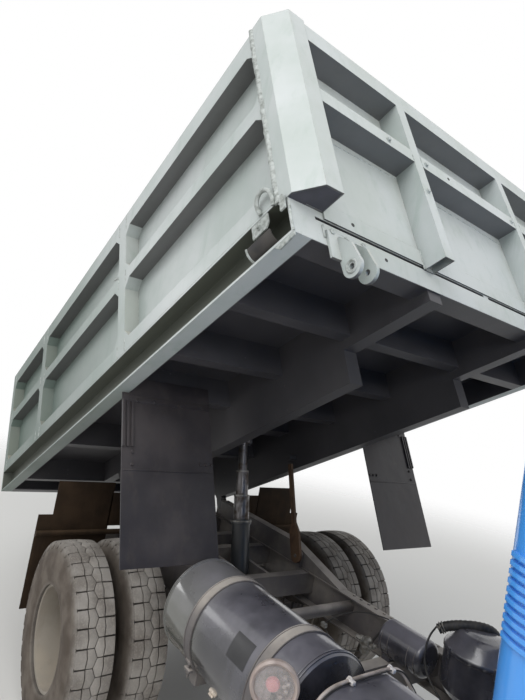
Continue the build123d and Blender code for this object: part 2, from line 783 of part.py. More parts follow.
def rim_and_disc(dish_side):
    """A rim with its dished disc; the disc's mounting face is at side distance zero."""
    middle = dish_side * wheel_offset
    disc = (
        (bead_radius - rim_wall + 1, dish_side * 62),
        (bead_radius - rim_wall + 1, dish_side * 84),
        (205, dish_side * 60),
        (160, dish_side * disc_thickness),
        (60, dish_side * disc_thickness),
        (60, 0),
        (166, 0),
        (213, dish_side * 48),
    )
    with BuildPart() as piece:
        with BuildSketch(Plane.XY):
            with BuildLine():
                Polyline(
                    (rim_flange_radius, middle - rim_half_width),
                    (rim_flange_radius, middle - rim_half_width + 8),
                    (bead_radius, middle - rim_half_width + 15),
                    (bead_radius, middle + rim_half_width - 15),
                    (rim_flange_radius, middle + rim_half_width - 8),
                    (rim_flange_radius, middle + rim_half_width),
                    (bead_radius - rim_wall, middle + rim_half_width - 8),
                    (bead_radius - rim_wall, middle - rim_half_width + 8),
                    close=True,
                )
            make_face()
            with BuildLine():
                Polyline(*disc, close=True)
            make_face()
        revolve(axis=Axis.Y)
        with BuildSketch(Plane.XZ.offset(-120)):
            with PolarLocations(190, 6):
                Circle(27)
        extrude(amount=240, mode=Mode.SUBTRACT)
    return piece.part


def tyre():
    """A tubed road tyre as a hollow ring, smooth out to its tread blocks' tips."""
    half = tyre_width / 2
    tread_half = tread_width / 2
    bead_half = rim_half_width - 16
    with BuildPart() as piece:
        with BuildSketch(Plane.XY):
            with BuildLine():
                Polyline(
                    (bead_radius + fit_gap, -bead_half),
                    (bead_radius + 36, -bead_half - 8),
                    (bead_radius + 92, -half),
                    (tyre_radius - 28, -half + 14),
                    (tyre_radius - 5, -tread_half),
                    (tyre_radius, -tread_half + 32),
                    (tyre_radius, tread_half - 32),
                    (tyre_radius - 5, tread_half),
                    (tyre_radius - 28, half - 14),
                    (bead_radius + 92, half),
                    (bead_radius + 36, bead_half + 8),
                    (bead_radius + fit_gap, bead_half),
                    (bead_radius + fit_gap, bead_half - tyre_wall),
                    (bead_radius + 92, half - tyre_wall),
                    (tyre_radius - tyre_wall, tread_half - 20),
                    (tyre_radius - tyre_wall, -tread_half + 20),
                    (bead_radius + 92, -half + tyre_wall),
                    (bead_radius + fit_gap, -bead_half + tyre_wall),
                    close=True,
                )
            make_face()
        revolve(axis=Axis.Y)
    return piece.part


# Hub and brake drum, turned together; outward is the positive side.
drum_depth = 130


def hub_and_drum(outward, drum_start):
    """Drum cup and hub barrel with a bore for the spindle, mounting flange at side distance zero."""
    with BuildPart() as piece:
        with BuildSketch(Plane.XY):
            with BuildLine():
                Polyline(
                    (spindle_radius + fit_gap, outward * drum_start),
                    (drum_radius - 20, outward * (drum_start + drum_depth - 18)),
                    (drum_radius - 12, outward * drum_start),
                    (drum_radius, outward * drum_start),
                    (drum_radius, outward * (drum_start + drum_depth)),
                    (hub_radius, outward * (drum_start + drum_depth)),
                    (hub_radius, outward * -14),
                    (145, outward * -14),
                    (145, 0),
                    (hub_radius - 20, 0),
                    (hub_radius - 20, outward * hub_cap_reach),
                    (0, outward * hub_cap_reach),
                    (0, outward * (hub_cap_reach - 20)),
                    (spindle_radius + fit_gap, outward * (hub_cap_reach - 20)),
                    close=True,
                )
            make_face()
        revolve(axis=Axis.Y)
    return piece.part


# Rear twin wheels: two rims disc to disc on one hub, and their two tyres.
sides = (("right", -1), ("left", 1))
rear_drum_start = -(rear_track / 2 - rear_drum_y)
for name, side in sides:
    centre = Location((rear_axle_x, side * rear_track / 2, axle_z))
    rims = rim_and_disc(side).moved(centre) + rim_and_disc(-side).moved(centre)
    rims = rims + hub_and_drum(side, rear_drum_start).moved(centre)
    rims.label = f"rear_rims_{name}"
    export_step(rims, f"parts/rear_rims_{name}.step")
    with BuildPart() as twin_tyres:
        for tyre_shift in (-wheel_offset, wheel_offset):
            add(tyre().moved(Location((rear_axle_x, side * rear_track / 2 + tyre_shift, axle_z))))
    twin_tyres.part.label = f"rear_tyres_{name}"
    export_step(twin_tyres.part, f"parts/rear_tyres_{name}.step")

# Front wheels, their knuckles with spindle and steering arm, and the tie rod.
front_hub_y = front_track / 2 + wheel_offset
front_drum_start = kingpin_y + 67 - front_hub_y
lug_gap = 0.5
lug_thickness = 24
knuckle_plate_y = kingpin_y + beam_eye_radius + 8
arm_length = 165
arm_eye_radius = 24
arm_inset = 45
tie_rod_radius = 16
lower_lug_z = axle_z - beam_height / 2 - lug_gap - lug_thickness
for name, side in sides:
    centre = Location((front_axle_x, side * front_hub_y, axle_z))
    rim = rim_and_disc(-side).moved(centre) + hub_and_drum(side, front_drum_start).moved(centre)
    rim.label = f"front_rim_{name}"
    export_step(rim, f"parts/front_rim_{name}.step")
    front_tyre = tyre().moved(Location((front_axle_x, side * front_track / 2, axle_z)))
    front_tyre.label = f"front_tyre_{name}"
    export_step(front_tyre, f"parts/front_tyre_{name}.step")

    with BuildPart() as knuckle:
        with BuildSketch(Plane.XY.offset(lower_lug_z)):
            with Locations((front_axle_x, side * kingpin_y)):
                Circle(kingpin_radius)
        extrude(amount=beam_height + 2 * (lug_thickness + lug_gap))
        for lug_z in (lower_lug_z, axle_z + beam_height / 2 + lug_gap):
            with BuildSketch(Plane.XY.offset(lug_z)):
                with Locations((front_axle_x, side * kingpin_y)):
                    Circle(beam_eye_radius)
                with Locations((front_axle_x, side * (kingpin_y + knuckle_plate_y) / 2)):
                    Rectangle(2 * beam_eye_radius - 12, knuckle_plate_y - kingpin_y)
            extrude(amount=lug_thickness)
        with BuildSketch(Plane.XY.offset(lower_lug_z)):
            with Locations((front_axle_x, side * (knuckle_plate_y + 8))):
                Rectangle(2 * beam_eye_radius - 12, 16)
        extrude(amount=beam_height + 2 * (lug_thickness + lug_gap))
        start_y = side * knuckle_plate_y
        spindle_length = front_hub_y + hub_cap_reach - 30 - knuckle_plate_y
        with BuildSketch(Plane.XZ.offset(-start_y if side < 0 else -start_y - spindle_length)):
            with Locations((front_axle_x, axle_z)):
                Circle(spindle_radius)
        extrude(amount=spindle_length)
        # The arm reaches back and inboard from the lower lug.
        with BuildSketch(Plane.XY.offset(lower_lug_z)):
            with BuildLine():
                Polyline(
                    (front_axle_x, side * (kingpin_y + 20)),
                    (front_axle_x, side * (kingpin_y - 20)),
                    (front_axle_x - arm_length, side * (kingpin_y - arm_inset - 16)),
                    (front_axle_x - arm_length, side * (kingpin_y - arm_inset + 16)),
                    close=True,
                )
            make_face()
            with Locations((front_axle_x - arm_length, side * (kingpin_y - arm_inset))):
                Circle(arm_eye_radius)
        extrude(amount=lug_thickness)
    knuckle.part.label = f"knuckle_{name}"
    export_step(knuckle.part, f"parts/knuckle_{name}.step")

tie_rod_z = lower_lug_z - fit_gap - 18
with BuildPart() as tie_rod:
    with BuildSketch(Plane.XZ.offset(-(kingpin_y - arm_inset))):
        with Locations((front_axle_x - arm_length, tie_rod_z)):
            Circle(tie_rod_radius)
    extrude(amount=2 * (kingpin_y - arm_inset))
    for side in (-1, 1):
        with BuildSketch(Plane.XY.offset(tie_rod_z - 18)):
            with Locations((front_axle_x - arm_length, side * (kingpin_y - arm_inset))):
                Circle(arm_eye_radius)
        extrude(amount=36)
tie_rod.part.label = "tie_rod"
export_step(tie_rod.part, "parts/tie_rod.step")

# Telescopic cylinder, built upright at the foot and leaned so that its eye meets the bed.
closed_length = cylinder_eye_z - cylinder_foot_z
barrel_top = 385
stage_names = ("stage_lower", "stage_middle", "stage_upper")
eye_arm = Vector(cylinder_eye_x - hinge_x, 0, cylinder_eye_z - hinge_z)
raised_eye = Vector(hinge_x, 0, hinge_z) + eye_arm.rotate(Axis.Y, -rest_tip)
foot = Vector(cylinder_foot_x, 0, cylinder_foot_z)
reach = raised_eye - foot
lean = Plane(origin=foot, x_dir=(0, 1, 0), z_dir=reach)
rest_travel = (reach.length - closed_length) / 3
print("cylinder reach", reach.length, "travel of each stage at rest", rest_travel)
with BuildPart() as barrel:
    with BuildSketch(lean.offset(-52)):
        Circle(barrel_radius)
    extrude(amount=barrel_top + 52)
    with BuildSketch(lean.offset(barrel_top - 30)):
        Circle(barrel_radius + 8)
    extrude(amount=30)
    with BuildSketch(lean.offset(-30)):
        Circle(barrel_radius - 8)
    extrude(amount=barrel_top + 40, mode=Mode.SUBTRACT)
    with BuildSketch(Plane.XZ.offset(-cradle_half_gap - cradle_plate)):
        with Locations((foot.X, foot.Z)):
            Circle(trunnion_radius)
    extrude(amount=2 * (cradle_half_gap + cradle_plate))
    with BuildSketch(lean.offset(-30)):
        Circle(barrel_radius - 8)
    extrude(amount=60, mode=Mode.SUBTRACT)
barrel.part.label = "cylinder_barrel"
export_step(barrel.part, "parts/cylinder_barrel.step")

eye_ring_radius = 32
eye_bore_radius = 16
eye_half_width = 35
for index, stage_name in enumerate(stage_names):
    radius = barrel_radius - 8 - fit_gap - index * stage_wall_step
    start = -25 + index * 6 + (index + 1) * rest_travel
    top = barrel_top + (index + 1) * (rest_travel + 14)
    with BuildPart() as stage:
        with BuildSketch(lean.offset(start)):
            Circle(radius)
            if index < 2:
                Circle(radius - stage_wall_step + fit_gap, mode=Mode.SUBTRACT)
        extrude(amount=(top if index < 2 else reach.length) - start)
        if index == 2:
            with BuildSketch(Plane.XZ.offset(-eye_half_width)):
                with Locations((raised_eye.X, raised_eye.Z)):
                    Circle(eye_ring_radius)
            extrude(amount=2 * eye_half_width)
            with BuildSketch(Plane.XZ.offset(-eye_half_width)):
                with Locations((raised_eye.X, raised_eye.Z)):
                    Circle(eye_bore_radius)
            extrude(amount=2 * eye_half_width, mode=Mode.SUBTRACT)
    stage.part.label = f"cylinder_{stage_name}"
    export_step(stage.part, f"parts/cylinder_{stage_name}.step")

# Bed floor: plate, channel sills open to the outside, cross-bearers, runners and end beams.
panel_y = bed_half_width - pocket_depth
bed_length = bed_front_x - bed_back_x
bed_middle_x = (bed_front_x + bed_back_x) / 2
flange_thickness = 10
beam_wall = 8
front_flange = 90
sill_top_z = floor_top_z - floor_step
sill_height = sill_top_z - sill_bottom_z
bearer_height = floor_top_z - floor_thickness - sill_bottom_z
ear_plate = 9
slot_start_y = 20
slot_end_y = 1040
slot_z = 1309
slot_height = 12
prop_lug_x = rear_axle_x + 181
prop_lug_z = 1066
prop_lug_length = 44
with BuildPart() as floor:
    with BuildSketch(Plane.XY.offset(floor_top_z - floor_thickness)):
        with Locations((bed_middle_x, 0)):
            Rectangle(bed_length, 2 * panel_y)
    extrude(amount=floor_thickness - floor_step)
    with BuildSketch(Plane.XY.offset(sill_top_z)):
        with Locations((bed_middle_x - (sheet_thickness + floor_edge_gap) / 2, 0)):
            Rectangle(bed_length - sheet_thickness - floor_edge_gap, 2 * (panel_y - floor_edge_gap))
    extrude(amount=floor_step)
    with BuildSketch(Plane.YZ.offset(bed_back_x)):
        for side in (-1, 1):
            with Locations((side * (panel_y + pocket_depth / 2), sill_bottom_z + sill_height / 2)):
                Rectangle(pocket_depth, sill_height)
            with Locations((side * (panel_y + pocket_depth / 2 + beam_wall), sill_bottom_z + sill_height / 2)):
                Rectangle(pocket_depth, sill_height - 2 * flange_thickness, mode=Mode.SUBTRACT)
    extrude(amount=bed_length)
    for x in cross_bearer_x:
        with BuildSketch(Plane.XZ.offset(-panel_y)):
            with Locations((x, sill_bottom_z + bearer_height / 2)):
                Rectangle(cross_bearer_width, bearer_height)
        extrude(amount=2 * panel_y)
    for side in (-1, 1):
        runner_mid_y = side * (runner_outer_y - runner_width / 2)
        with BuildSketch(Plane.XZ.offset(-runner_mid_y - runner_width / 2)):
            with BuildLine():
                Polyline(
                    (hinge_x - hinge_boss_radius, runner_bottom_z),
                    (runner_front_x, runner_bottom_z),
                    (runner_front_x, sill_bottom_z - 45),
                    (bed_front_x - beam_wall, sill_bottom_z - 45),
                    (bed_front_x - beam_wall, floor_top_z - floor_thickness),
                    (bed_back_x, floor_top_z - floor_thickness),
                    (bed_back_x, sill_bottom_z),
                    (hinge_x - hinge_boss_radius - 90, sill_bottom_z),
                    close=True,
                )
            make_face()
        extrude(amount=runner_width)
        for inner in (boss_inner_y - fit_gap - ear_plate, boss_outer_y + fit_gap):
            ear_y = inner if side > 0 else -inner - ear_plate
            with BuildSketch(Plane.XZ.offset(-ear_y - ear_plate)):
                with Locations((hinge_x, hinge_z)):
                    Circle(hinge_boss_radius)
                with Locations((hinge_x, (hinge_z + runner_bottom_z) / 2)):
                    Rectangle(2 * hinge_boss_radius, runner_bottom_z - hinge_z)
            extrude(amount=ear_plate)
        pin_y = side * (boss_inner_y + boss_outer_y) / 2
        pin_length = boss_outer_y - boss_inner_y + 2 * ear_plate
        with BuildSketch(Plane.XZ.offset(-pin_y - pin_length / 2)):
            with Locations((hinge_x, hinge_z)):
                Circle(hinge_pin_radius)
        extrude(amount=pin_length)
    for end_x, inward in ((bed_front_x, -1), (bed_back_x, 1)):
        face_x = end_x + inward * beam_wall / 2
        with BuildSketch(Plane.XZ.offset(-bed_half_width)):
            with Locations((face_x, sill_bottom_z + sill_height / 2)):
                Rectangle(beam_wall, sill_height)
            with Locations((end_x + inward * front_flange / 2, sill_bottom_z + flange_thickness / 2)):
                Rectangle(front_flange, flange_thickness)
        extrude(amount=2 * bed_half_width)
    # Cross-beam over the cylinder's eye, with an ear and a pin head each side of the eye.
    eye_beam_bottom = cylinder_eye_z + eye_ring_radius + 42
    with BuildSketch(Plane.XZ.offset(-(runner_outer_y - runner_width))):
        with Locations((cylinder_eye_x, (eye_beam_bottom + floor_top_z - floor_thickness) / 2)):
            Rectangle(110, floor_top_z - floor_thickness - eye_beam_bottom)
    extrude(amount=2 * (runner_outer_y - runner_width))
    for side in (-1, 1):
        ear_mid = side * (eye_half_width + fit_gap + 9)
        with BuildSketch(Plane.XZ.offset(-ear_mid - 9)):
            with Locations((cylinder_eye_x, cylinder_eye_z)):
                Circle(34)
            with Locations((cylinder_eye_x, (cylinder_eye_z + eye_beam_bottom) / 2)):
                Rectangle(68, eye_beam_bottom - cylinder_eye_z)
        extrude(amount=18)
        head_mid = side * (eye_half_width + fit_gap + 18 + 4)
        with BuildSketch(Plane.XZ.offset(-head_mid - 4)):
            with Locations((cylinder_eye_x, cylinder_eye_z)):
                Circle(22)
        extrude(amount=8)
    # Slots along the front beam part its face from the wall's foot strip.
    with BuildSketch(Plane.YZ.offset(bed_front_x - beam_wall)):
        for side in (-1, 1):
            with Locations((side * (slot_start_y + slot_end_y) / 2, slot_z)):
                Rectangle(slot_end_y - slot_start_y, slot_height)
    extrude(amount=beam_wall, mode=Mode.SUBTRACT)
    # Lug on the left runner's inner side, over the prop's end.
    with BuildSketch(Plane.XY.offset(prop_lug_z)):
        with Locations((prop_lug_x, (prop_pivot.Y - prop_thickness + runner_outer_y - runner_width) / 2)):
            Rectangle(prop_lug_length, runner_outer_y - runner_width - prop_pivot.Y + prop_thickness + 4)
    extrude(amount=26)
export_step(tilted(floor.part, "bed_floor"), "parts/bed_floor.step")

# Front wall: sheet, deep top and mid rails, and two hollow stiffeners open at the foot.
post_foot_z = 1345
stiffener_foot_z = 1300
foot_strip = 6
foot_strip_z = 1318
foot_strip_top_z = 1392
wall_bottom_z = sill_top_z + fit_gap
with BuildPart() as front_wall:
    with BuildSketch(Plane.XY.offset(wall_bottom_z)):
        with Locations((bed_front_x - sheet_thickness / 2, 0)):
            Rectangle(sheet_thickness, 2 * panel_y - 2 * sheet_thickness)
    extrude(amount=bed_top_z - wall_bottom_z)
    for bottom_z, face in ((bed_top_z - top_rail_height, top_rail_height), (mid_rail_z, rail_face_height)):
        with BuildSketch(Plane.XZ.offset(-panel_y + 70)):
            with Locations((bed_front_x + front_pocket_depth / 2, bottom_z + face / 2)):
                Rectangle(front_pocket_depth, face)
        extrude(amount=2 * (panel_y - 70))
    # Foot strip folded down in front of the beam, joined to the sheet above it.
    with BuildSketch(Plane.XZ.offset(-panel_y + 70)):
        with Locations((bed_front_x + fit_gap + foot_strip / 2, (foot_strip_z + foot_strip_top_z) / 2)):
            Rectangle(foot_strip, foot_strip_top_z - foot_strip_z)
        with Locations((bed_front_x, (wall_bottom_z + foot_strip_top_z) / 2)):
            Rectangle(foot_strip, foot_strip_top_z - wall_bottom_z)
    extrude(amount=2 * (panel_y - 70))
    for side in (-1, 1):
        with BuildSketch(Plane.XY.offset(stiffener_foot_z)):
            with Locations((bed_front_x + front_pocket_depth / 2 + fit_gap, side * front_post_y)):
                Rectangle(front_pocket_depth, front_post_width)
                Rectangle(front_pocket_depth - 10, front_post_width - 10, mode=Mode.SUBTRACT)
        extrude(amount=bed_top_z - top_rail_height - stiffener_foot_z)
export_step(tilted(front_wall.part, "bed_front_wall"), "parts/bed_front_wall.step")

# Front corner posts: folded tubes with a wide chamfer, capped on top, open at the foot.
post_wall = 6
with BuildPart() as corner_posts:
    for side in (-1, 1):
        with BuildSketch(Plane.XY.offset(post_foot_z)) as post_section:
            with BuildLine():
                Polyline(
                    (bed_front_x - 45, side * (bed_half_width + 2)),
                    (bed_front_x + 22, side * (bed_half_width + 2)),
                    (bed_front_x + front_pocket_depth + 4, side * (bed_half_width - 72)),
                    (bed_front_x + front_pocket_depth + 4, side * (panel_y - 69.4)),
                    (bed_front_x + fit_gap, side * (panel_y - 69.4)),
                    (bed_front_x + fit_gap, side * (panel_y + pocket_depth + fit_gap)),
                    (bed_front_x - 45, side * (panel_y + pocket_depth + fit_gap)),
                    close=True,
                )
            make_face()
        extrude(amount=bed_top_z + 12 - post_foot_z)
        with BuildSketch(Plane.XY.offset(post_foot_z)):
            with BuildLine():
                Polyline(
                    (bed_front_x + post_wall + fit_gap, side * (bed_half_width - post_wall)),
                    (bed_front_x + 18, side * (bed_half_width - post_wall)),
                    (bed_front_x + front_pocket_depth - 3, side * (bed_half_width - 76)),
                    (bed_front_x + front_pocket_depth - 3, side * (panel_y - 62)),
                    (bed_front_x + post_wall + fit_gap, side * (panel_y - 62)),
                    close=True,
                )
            make_face()
        extrude(amount=bed_top_z + 12 - post_wall - post_foot_z, mode=Mode.SUBTRACT)
export_step(tilted(corner_posts.part, "bed_corner_posts"), "parts/bed_corner_posts.step")

# Side walls: sheet inside, a deep frame outside with chamfered pockets between rails and posts.
rear_post_width = 80
gate_pivot_x = bed_back_x + 30
gate_pivot_z = 2190
gate_pin_radius = 14
bays = (
    # front edge, back edge
    (bed_front_x - 45 - fit_gap, side_post_x[0] + side_post_width / 2),
    (side_post_x[0] - side_post_width / 2, side_post_x[1] + side_post_width / 2),
    (side_post_x[1] - side_post_width / 2, bed_back_x + rear_post_width),
)
rows = (
    # bottom, top
    (wall_bottom_z + rail_face_height, mid_rail_z),
    (mid_rail_z + rail_face_height, bed_top_z - top_rail_height),
)
for name, side in sides:
    with BuildPart() as side_wall:
        frame_depth = pocket_depth - sheet_thickness
        middle_y = side * (panel_y + sheet_thickness + frame_depth / 2)
        with BuildSketch(Plane.XZ.offset(-middle_y - frame_depth / 2)):
            with Locations((bed_middle_x - fit_gap / 2, (wall_bottom_z + bed_top_z) / 2)):
                Rectangle(bed_length - fit_gap, bed_top_z - wall_bottom_z)
            for front, back in bays:
                for bottom, top in rows:
                    with BuildLine():
                        Polyline(
                            (back + gusset, bottom),
                            (front - gusset, bottom),
                            (front, bottom + gusset),
                            (front, top - gusset),
                            (front - gusset, top),
                            (back + gusset, top),
                            (back, top - gusset),
                            (back, bottom + gusset),
                            close=True,
                        )
                    make_face(mode=Mode.SUBTRACT)
        extrude(amount=frame_depth)
        sheet_mid = side * (panel_y + sheet_thickness / 2)
        with BuildSketch(Plane.XZ.offset(-sheet_mid - sheet_thickness / 2)):
            with Locations((bed_middle_x - fit_gap / 2, (wall_bottom_z + bed_top_z) / 2)):
                Rectangle(bed_length - fit_gap, bed_top_z - wall_bottom_z)
        extrude(amount=sheet_thickness)
        with BuildSketch(Plane.XZ.offset(-side * panel_y - (60 if side > 0 else 0))):
            with Locations((gate_pivot_x, gate_pivot_z)):
                Circle(gate_pin_radius + fit_gap)
        extrude(amount=60, mode=Mode.SUBTRACT)
    export_step(tilted(side_wall.part, f"bed_side_{name}"), f"parts/bed_side_{name}.step")

# Twin-ear clevises on the front beam, each a plate with two bored ears below it.
clevis_y = 920
clevis_ear_gap = 58
clevis_ear = 14
clevis_ear_radius = 38
clevis_hole_radius = 11
clevis_hole_z = 1118
with BuildPart() as clevises:
    for side in (-1, 1):
        with BuildSketch(Plane.YZ.offset(bed_front_x + fit_gap)):
            with Locations((side * clevis_y, 1215)):
                Rectangle(170, 110)
        extrude(amount=10)
        for step in (-1, 1):
            ear_mid = side * clevis_y + step * (clevis_ear_gap + clevis_ear) / 2
            with BuildSketch(Plane.XZ.offset(-ear_mid - clevis_ear / 2)):
                with Locations((bed_front_x + 42, clevis_hole_z)):
                    Circle(clevis_ear_radius)
                with BuildLine():
                    Polyline(
                        (bed_front_x + fit_gap, 1250),
                        (bed_front_x + fit_gap, 1165),
                        (bed_front_x + 42 - clevis_ear_radius, clevis_hole_z),
                        (bed_front_x + 42 + clevis_ear_radius, clevis_hole_z),
                        (bed_front_x + 60, 1200),
                        (bed_front_x + 20, 1250),
                        close=True,
                    )
                make_face()
                with Locations((bed_front_x + 42, clevis_hole_z)):
                    Circle(clevis_hole_radius, mode=Mode.SUBTRACT)
            extrude(amount=clevis_ear)
export_step(tilted(clevises.part, "bed_clevises"), "parts/bed_clevises.step")

# Rigid mudflaps under the bed, in front of the rear wheels, with a ribbed angle on the outer edge.
bed_flap_x = flap_bearer_x + cross_bearer_width / 2 + fit_gap
bed_flap_inner_y = 612
bed_flap_outer_y = 1112
bed_flap_bottom_z = 392
bed_flap_shoulder_z = sill_bottom_z - 5
bed_flap_top_z = 1290
flap_rib_z = 1047
flap_rib_height = 235
with BuildPart() as bed_flaps:
    for side in (-1, 1):
        with BuildSketch(Plane.YZ.offset(bed_flap_x)):
            middle_y = side * (bed_flap_inner_y + bed_flap_outer_y) / 2
            with Locations((middle_y, (bed_flap_bottom_z + bed_flap_shoulder_z) / 2)):
                Rectangle(bed_flap_outer_y - bed_flap_inner_y, bed_flap_shoulder_z - bed_flap_bottom_z)
            with Locations((side * (bed_flap_inner_y + panel_y - 2) / 2, (bed_flap_shoulder_z + bed_flap_top_z) / 2)):
                Rectangle(panel_y - 2 - bed_flap_inner_y, bed_flap_top_z - bed_flap_shoulder_z)
        extrude(amount=flap_sheet)
        for inset, proud in ((0, 10), (22, 10), (44, 10)):
            with BuildSketch(Plane.YZ.offset(bed_flap_x + flap_sheet)):
                with Locations((side * (bed_flap_outer_y - 6 - inset), flap_rib_z)):
                    Rectangle(12, flap_rib_height)
            extrude(amount=proud)
export_step(tilted(bed_flaps.part, "bed_flaps"), "parts/bed_flaps.step")

# Tailgate: hung on two pins at its top, sheet inside and a pocketed frame outside.
gate_half_width = panel_y - 6
gate_bottom_z = 1386
gate_thickness = 60
gate_bays = 3
gate_rail = 80
gate_rows = (
    # bottom, top
    (gate_bottom_z + gate_rail, mid_rail_z),
    (mid_rail_z + gate_rail, bed_top_z - gate_rail),
)
with BuildPart() as tailgate:
    with BuildSketch(Plane.YZ.offset(bed_back_x)):
        with Locations((0, (gate_bottom_z + bed_top_z) / 2)):
            Rectangle(2 * gate_half_width, bed_top_z - gate_bottom_z)
        bay_width = (2 * gate_half_width - (gate_bays + 1) * gate_rail) / gate_bays
        for index in range(gate_bays):
            left = -gate_half_width + gate_rail + index * (bay_width + gate_rail)
            for bottom, top in gate_rows:
                with BuildLine():
                    Polyline(
                        (left + gusset, bottom),
                        (left + bay_width - gusset, bottom),
                        (left + bay_width, bottom + gusset),
                        (left + bay_width, top - gusset),
                        (left + bay_width - gusset, top),
                        (left + gusset, top),
                        (left, top - gusset),
                        (left, bottom + gusset),
                        close=True,
                    )
                make_face(mode=Mode.SUBTRACT)
    extrude(amount=gate_thickness - sheet_thickness)
    with BuildSketch(Plane.YZ.offset(bed_back_x + gate_thickness - sheet_thickness)):
        with Locations((0, (gate_bottom_z + bed_top_z) / 2)):
            Rectangle(2 * gate_half_width, bed_top_z - gate_bottom_z)
    extrude(amount=sheet_thickness)
    with BuildSketch(Plane.XZ.offset(-gate_half_width - 50)):
        with Locations((gate_pivot_x, gate_pivot_z)):
            Circle(gate_pin_radius)
    extrude(amount=2 * (gate_half_width + 50))
export_step(tilted(tailgate.part, "tailgate"), "parts/tailgate.step")

# Cab: a welded shell, the crossing of its side, plan and front outlines.
below_cab = cab_front_bottom_z - 250
cut_margin = 10


def cab_form(inset):
    """The cab's closed form, drawn in on every side by an inset."""
    with BuildPart() as form:
        with BuildSketch(Plane.XZ.offset(-cab_half_width)) as side_outline:
            with BuildLine():
                Polyline(
                    (cab_back_x, below_cab),
                    (cab_back_x, cab_roof_z),
                    (windscreen_top_x, cab_roof_z),
                    (cab_front_x, windscreen_foot_z),
                    (cab_front_x, below_cab),
                    close=True,
                )
            make_face()
            fillet(side_outline.vertices().group_by(Axis.Y)[-1], radius=cab_roof_radius)
            if inset:
                offset(amount=-inset, kind=Kind.INTERSECTION)
        extrude(amount=2 * cab_half_width)
        with BuildSketch(Plane.XY.offset(below_cab)) as plan_outline:
            with Locations(((cab_back_x + cab_front_x) / 2, 0)):
                Rectangle(cab_front_x - cab_back_x, 2 * cab_half_width)
            fillet(plan_outline.vertices().group_by(Axis.X)[0], radius=cab_corner_radius)
            fillet(plan_outline.vertices().group_by(Axis.X)[-1], radius=cab_front_radius)
            if inset:
                offset(amount=-inset, kind=Kind.INTERSECTION)
        extrude(amount=cab_roof_z - below_cab, mode=Mode.INTERSECT)
        with BuildSketch(Plane.YZ.offset(cab_back_x)) as front_outline:
            with Locations((0, (below_cab + cab_roof_z) / 2)):
                Rectangle(2 * cab_half_width, cab_roof_z - below_cab)
            fillet(front_outline.vertices().group_by(Axis.Y)[-1], radius=cab_roof_radius)
            if inset:
                offset(amount=-inset, kind=Kind.INTERSECTION)
        extrude(amount=cab_front_x - cab_back_x, mode=Mode.INTERSECT)
    return form.part


def door_prism(side, grow, bottom_z, outer_y, depth):
    """A prism with the door's outline, grown or drawn in and kept above a height, from outer_y inwards."""
    with BuildPart() as prism:
        high_y = outer_y if side > 0 else depth - outer_y
        with BuildSketch(Plane.XZ.offset(-high_y)) as outline:
            with BuildLine():
                Polyline(
                    (door_back_x, door_bottom_z),
                    (door_front_x, door_bottom_z),
                    (door_front_x, door_slope_z),
                    (door_top_front_x, door_top_z),
                    (door_back_x, door_top_z),
                    close=True,
                )
            make_face()
            if grow:
                offset(amount=grow, kind=Kind.INTERSECTION)
            with Locations(((door_back_x + door_front_x) / 2, bottom_z + cab_roof_z)):
                Rectangle(2 * (door_front_x - door_back_x), 2 * cab_roof_z, mode=Mode.INTERSECT)
            fillet(outline.vertices(), radius=door_corner_radius + min(grow, 0) / 4)
        extrude(amount=depth)
    return prism.part


# Windscreen plane, with its two panes each side of a middle post.
screen_run = Vector(windscreen_top_x - cab_front_x, 0, cab_roof_z - windscreen_foot_z)
screen_plane = Plane(
    origin=Vector(cab_front_x, 0, windscreen_foot_z) + screen_run * 0.5,
    x_dir=(0, 1, 0),
    z_dir=Vector(screen_run.Z, 0, -screen_run.X),
)
pane_width = 880
pane_height = 620
pane_middle = 470
pane_radius = 70
rear_window = (1180, 460)
rear_window_z = 2080
rear_window_radius = 70


def panes(plane, size, shrink, depth, middles, radius):
    """Rounded panes on a plane at the given middles, extruded inwards."""
    with BuildPart() as set_of_panes:
        with BuildSketch(plane):
            with Locations(*middles):
                RectangleRounded(size[0] - 2 * shrink, size[1] - 2 * shrink, radius - shrink)
        extrude(amount=-depth)
    return set_of_panes.part


screen_middles = ((-pane_middle, 0), (pane_middle, 0))
rear_window_plane = Plane(origin=(cab_back_x, 0, rear_window_z), x_dir=(0, 1, 0), z_dir=(-1, 0, 0))

# Air gills round both rear corners, and the hump over the engine.
gill_count = 10
gill_bottom_z = 1630
gill_pitch = 16
gill_height = 9
gill_depth = 8
gill_start = 28
gill_length = 430
hump_half_width = 310
hump_top_z = 1330
hump_wall = 12
leg_size = 70
leg_x = (cab_back_x + 160, cab_front_x - 240)
hinge_axis_x = door_front_x + door_gap / 2
hinge_axis_y = cab_half_width + 12
door_hinge_radius = 11
door_hinge_height = 40
door_hinge_z = (1320, 1640)
step_height = 24
step_z = 545
step_back_x = front_axle_x + 590
step_front_x = cab_front_x - cab_front_radius - 60
pedestal_x = front_axle_x - 190
seat_pedestal_top_z = 1360
seat_y = 600
seat_width = 480

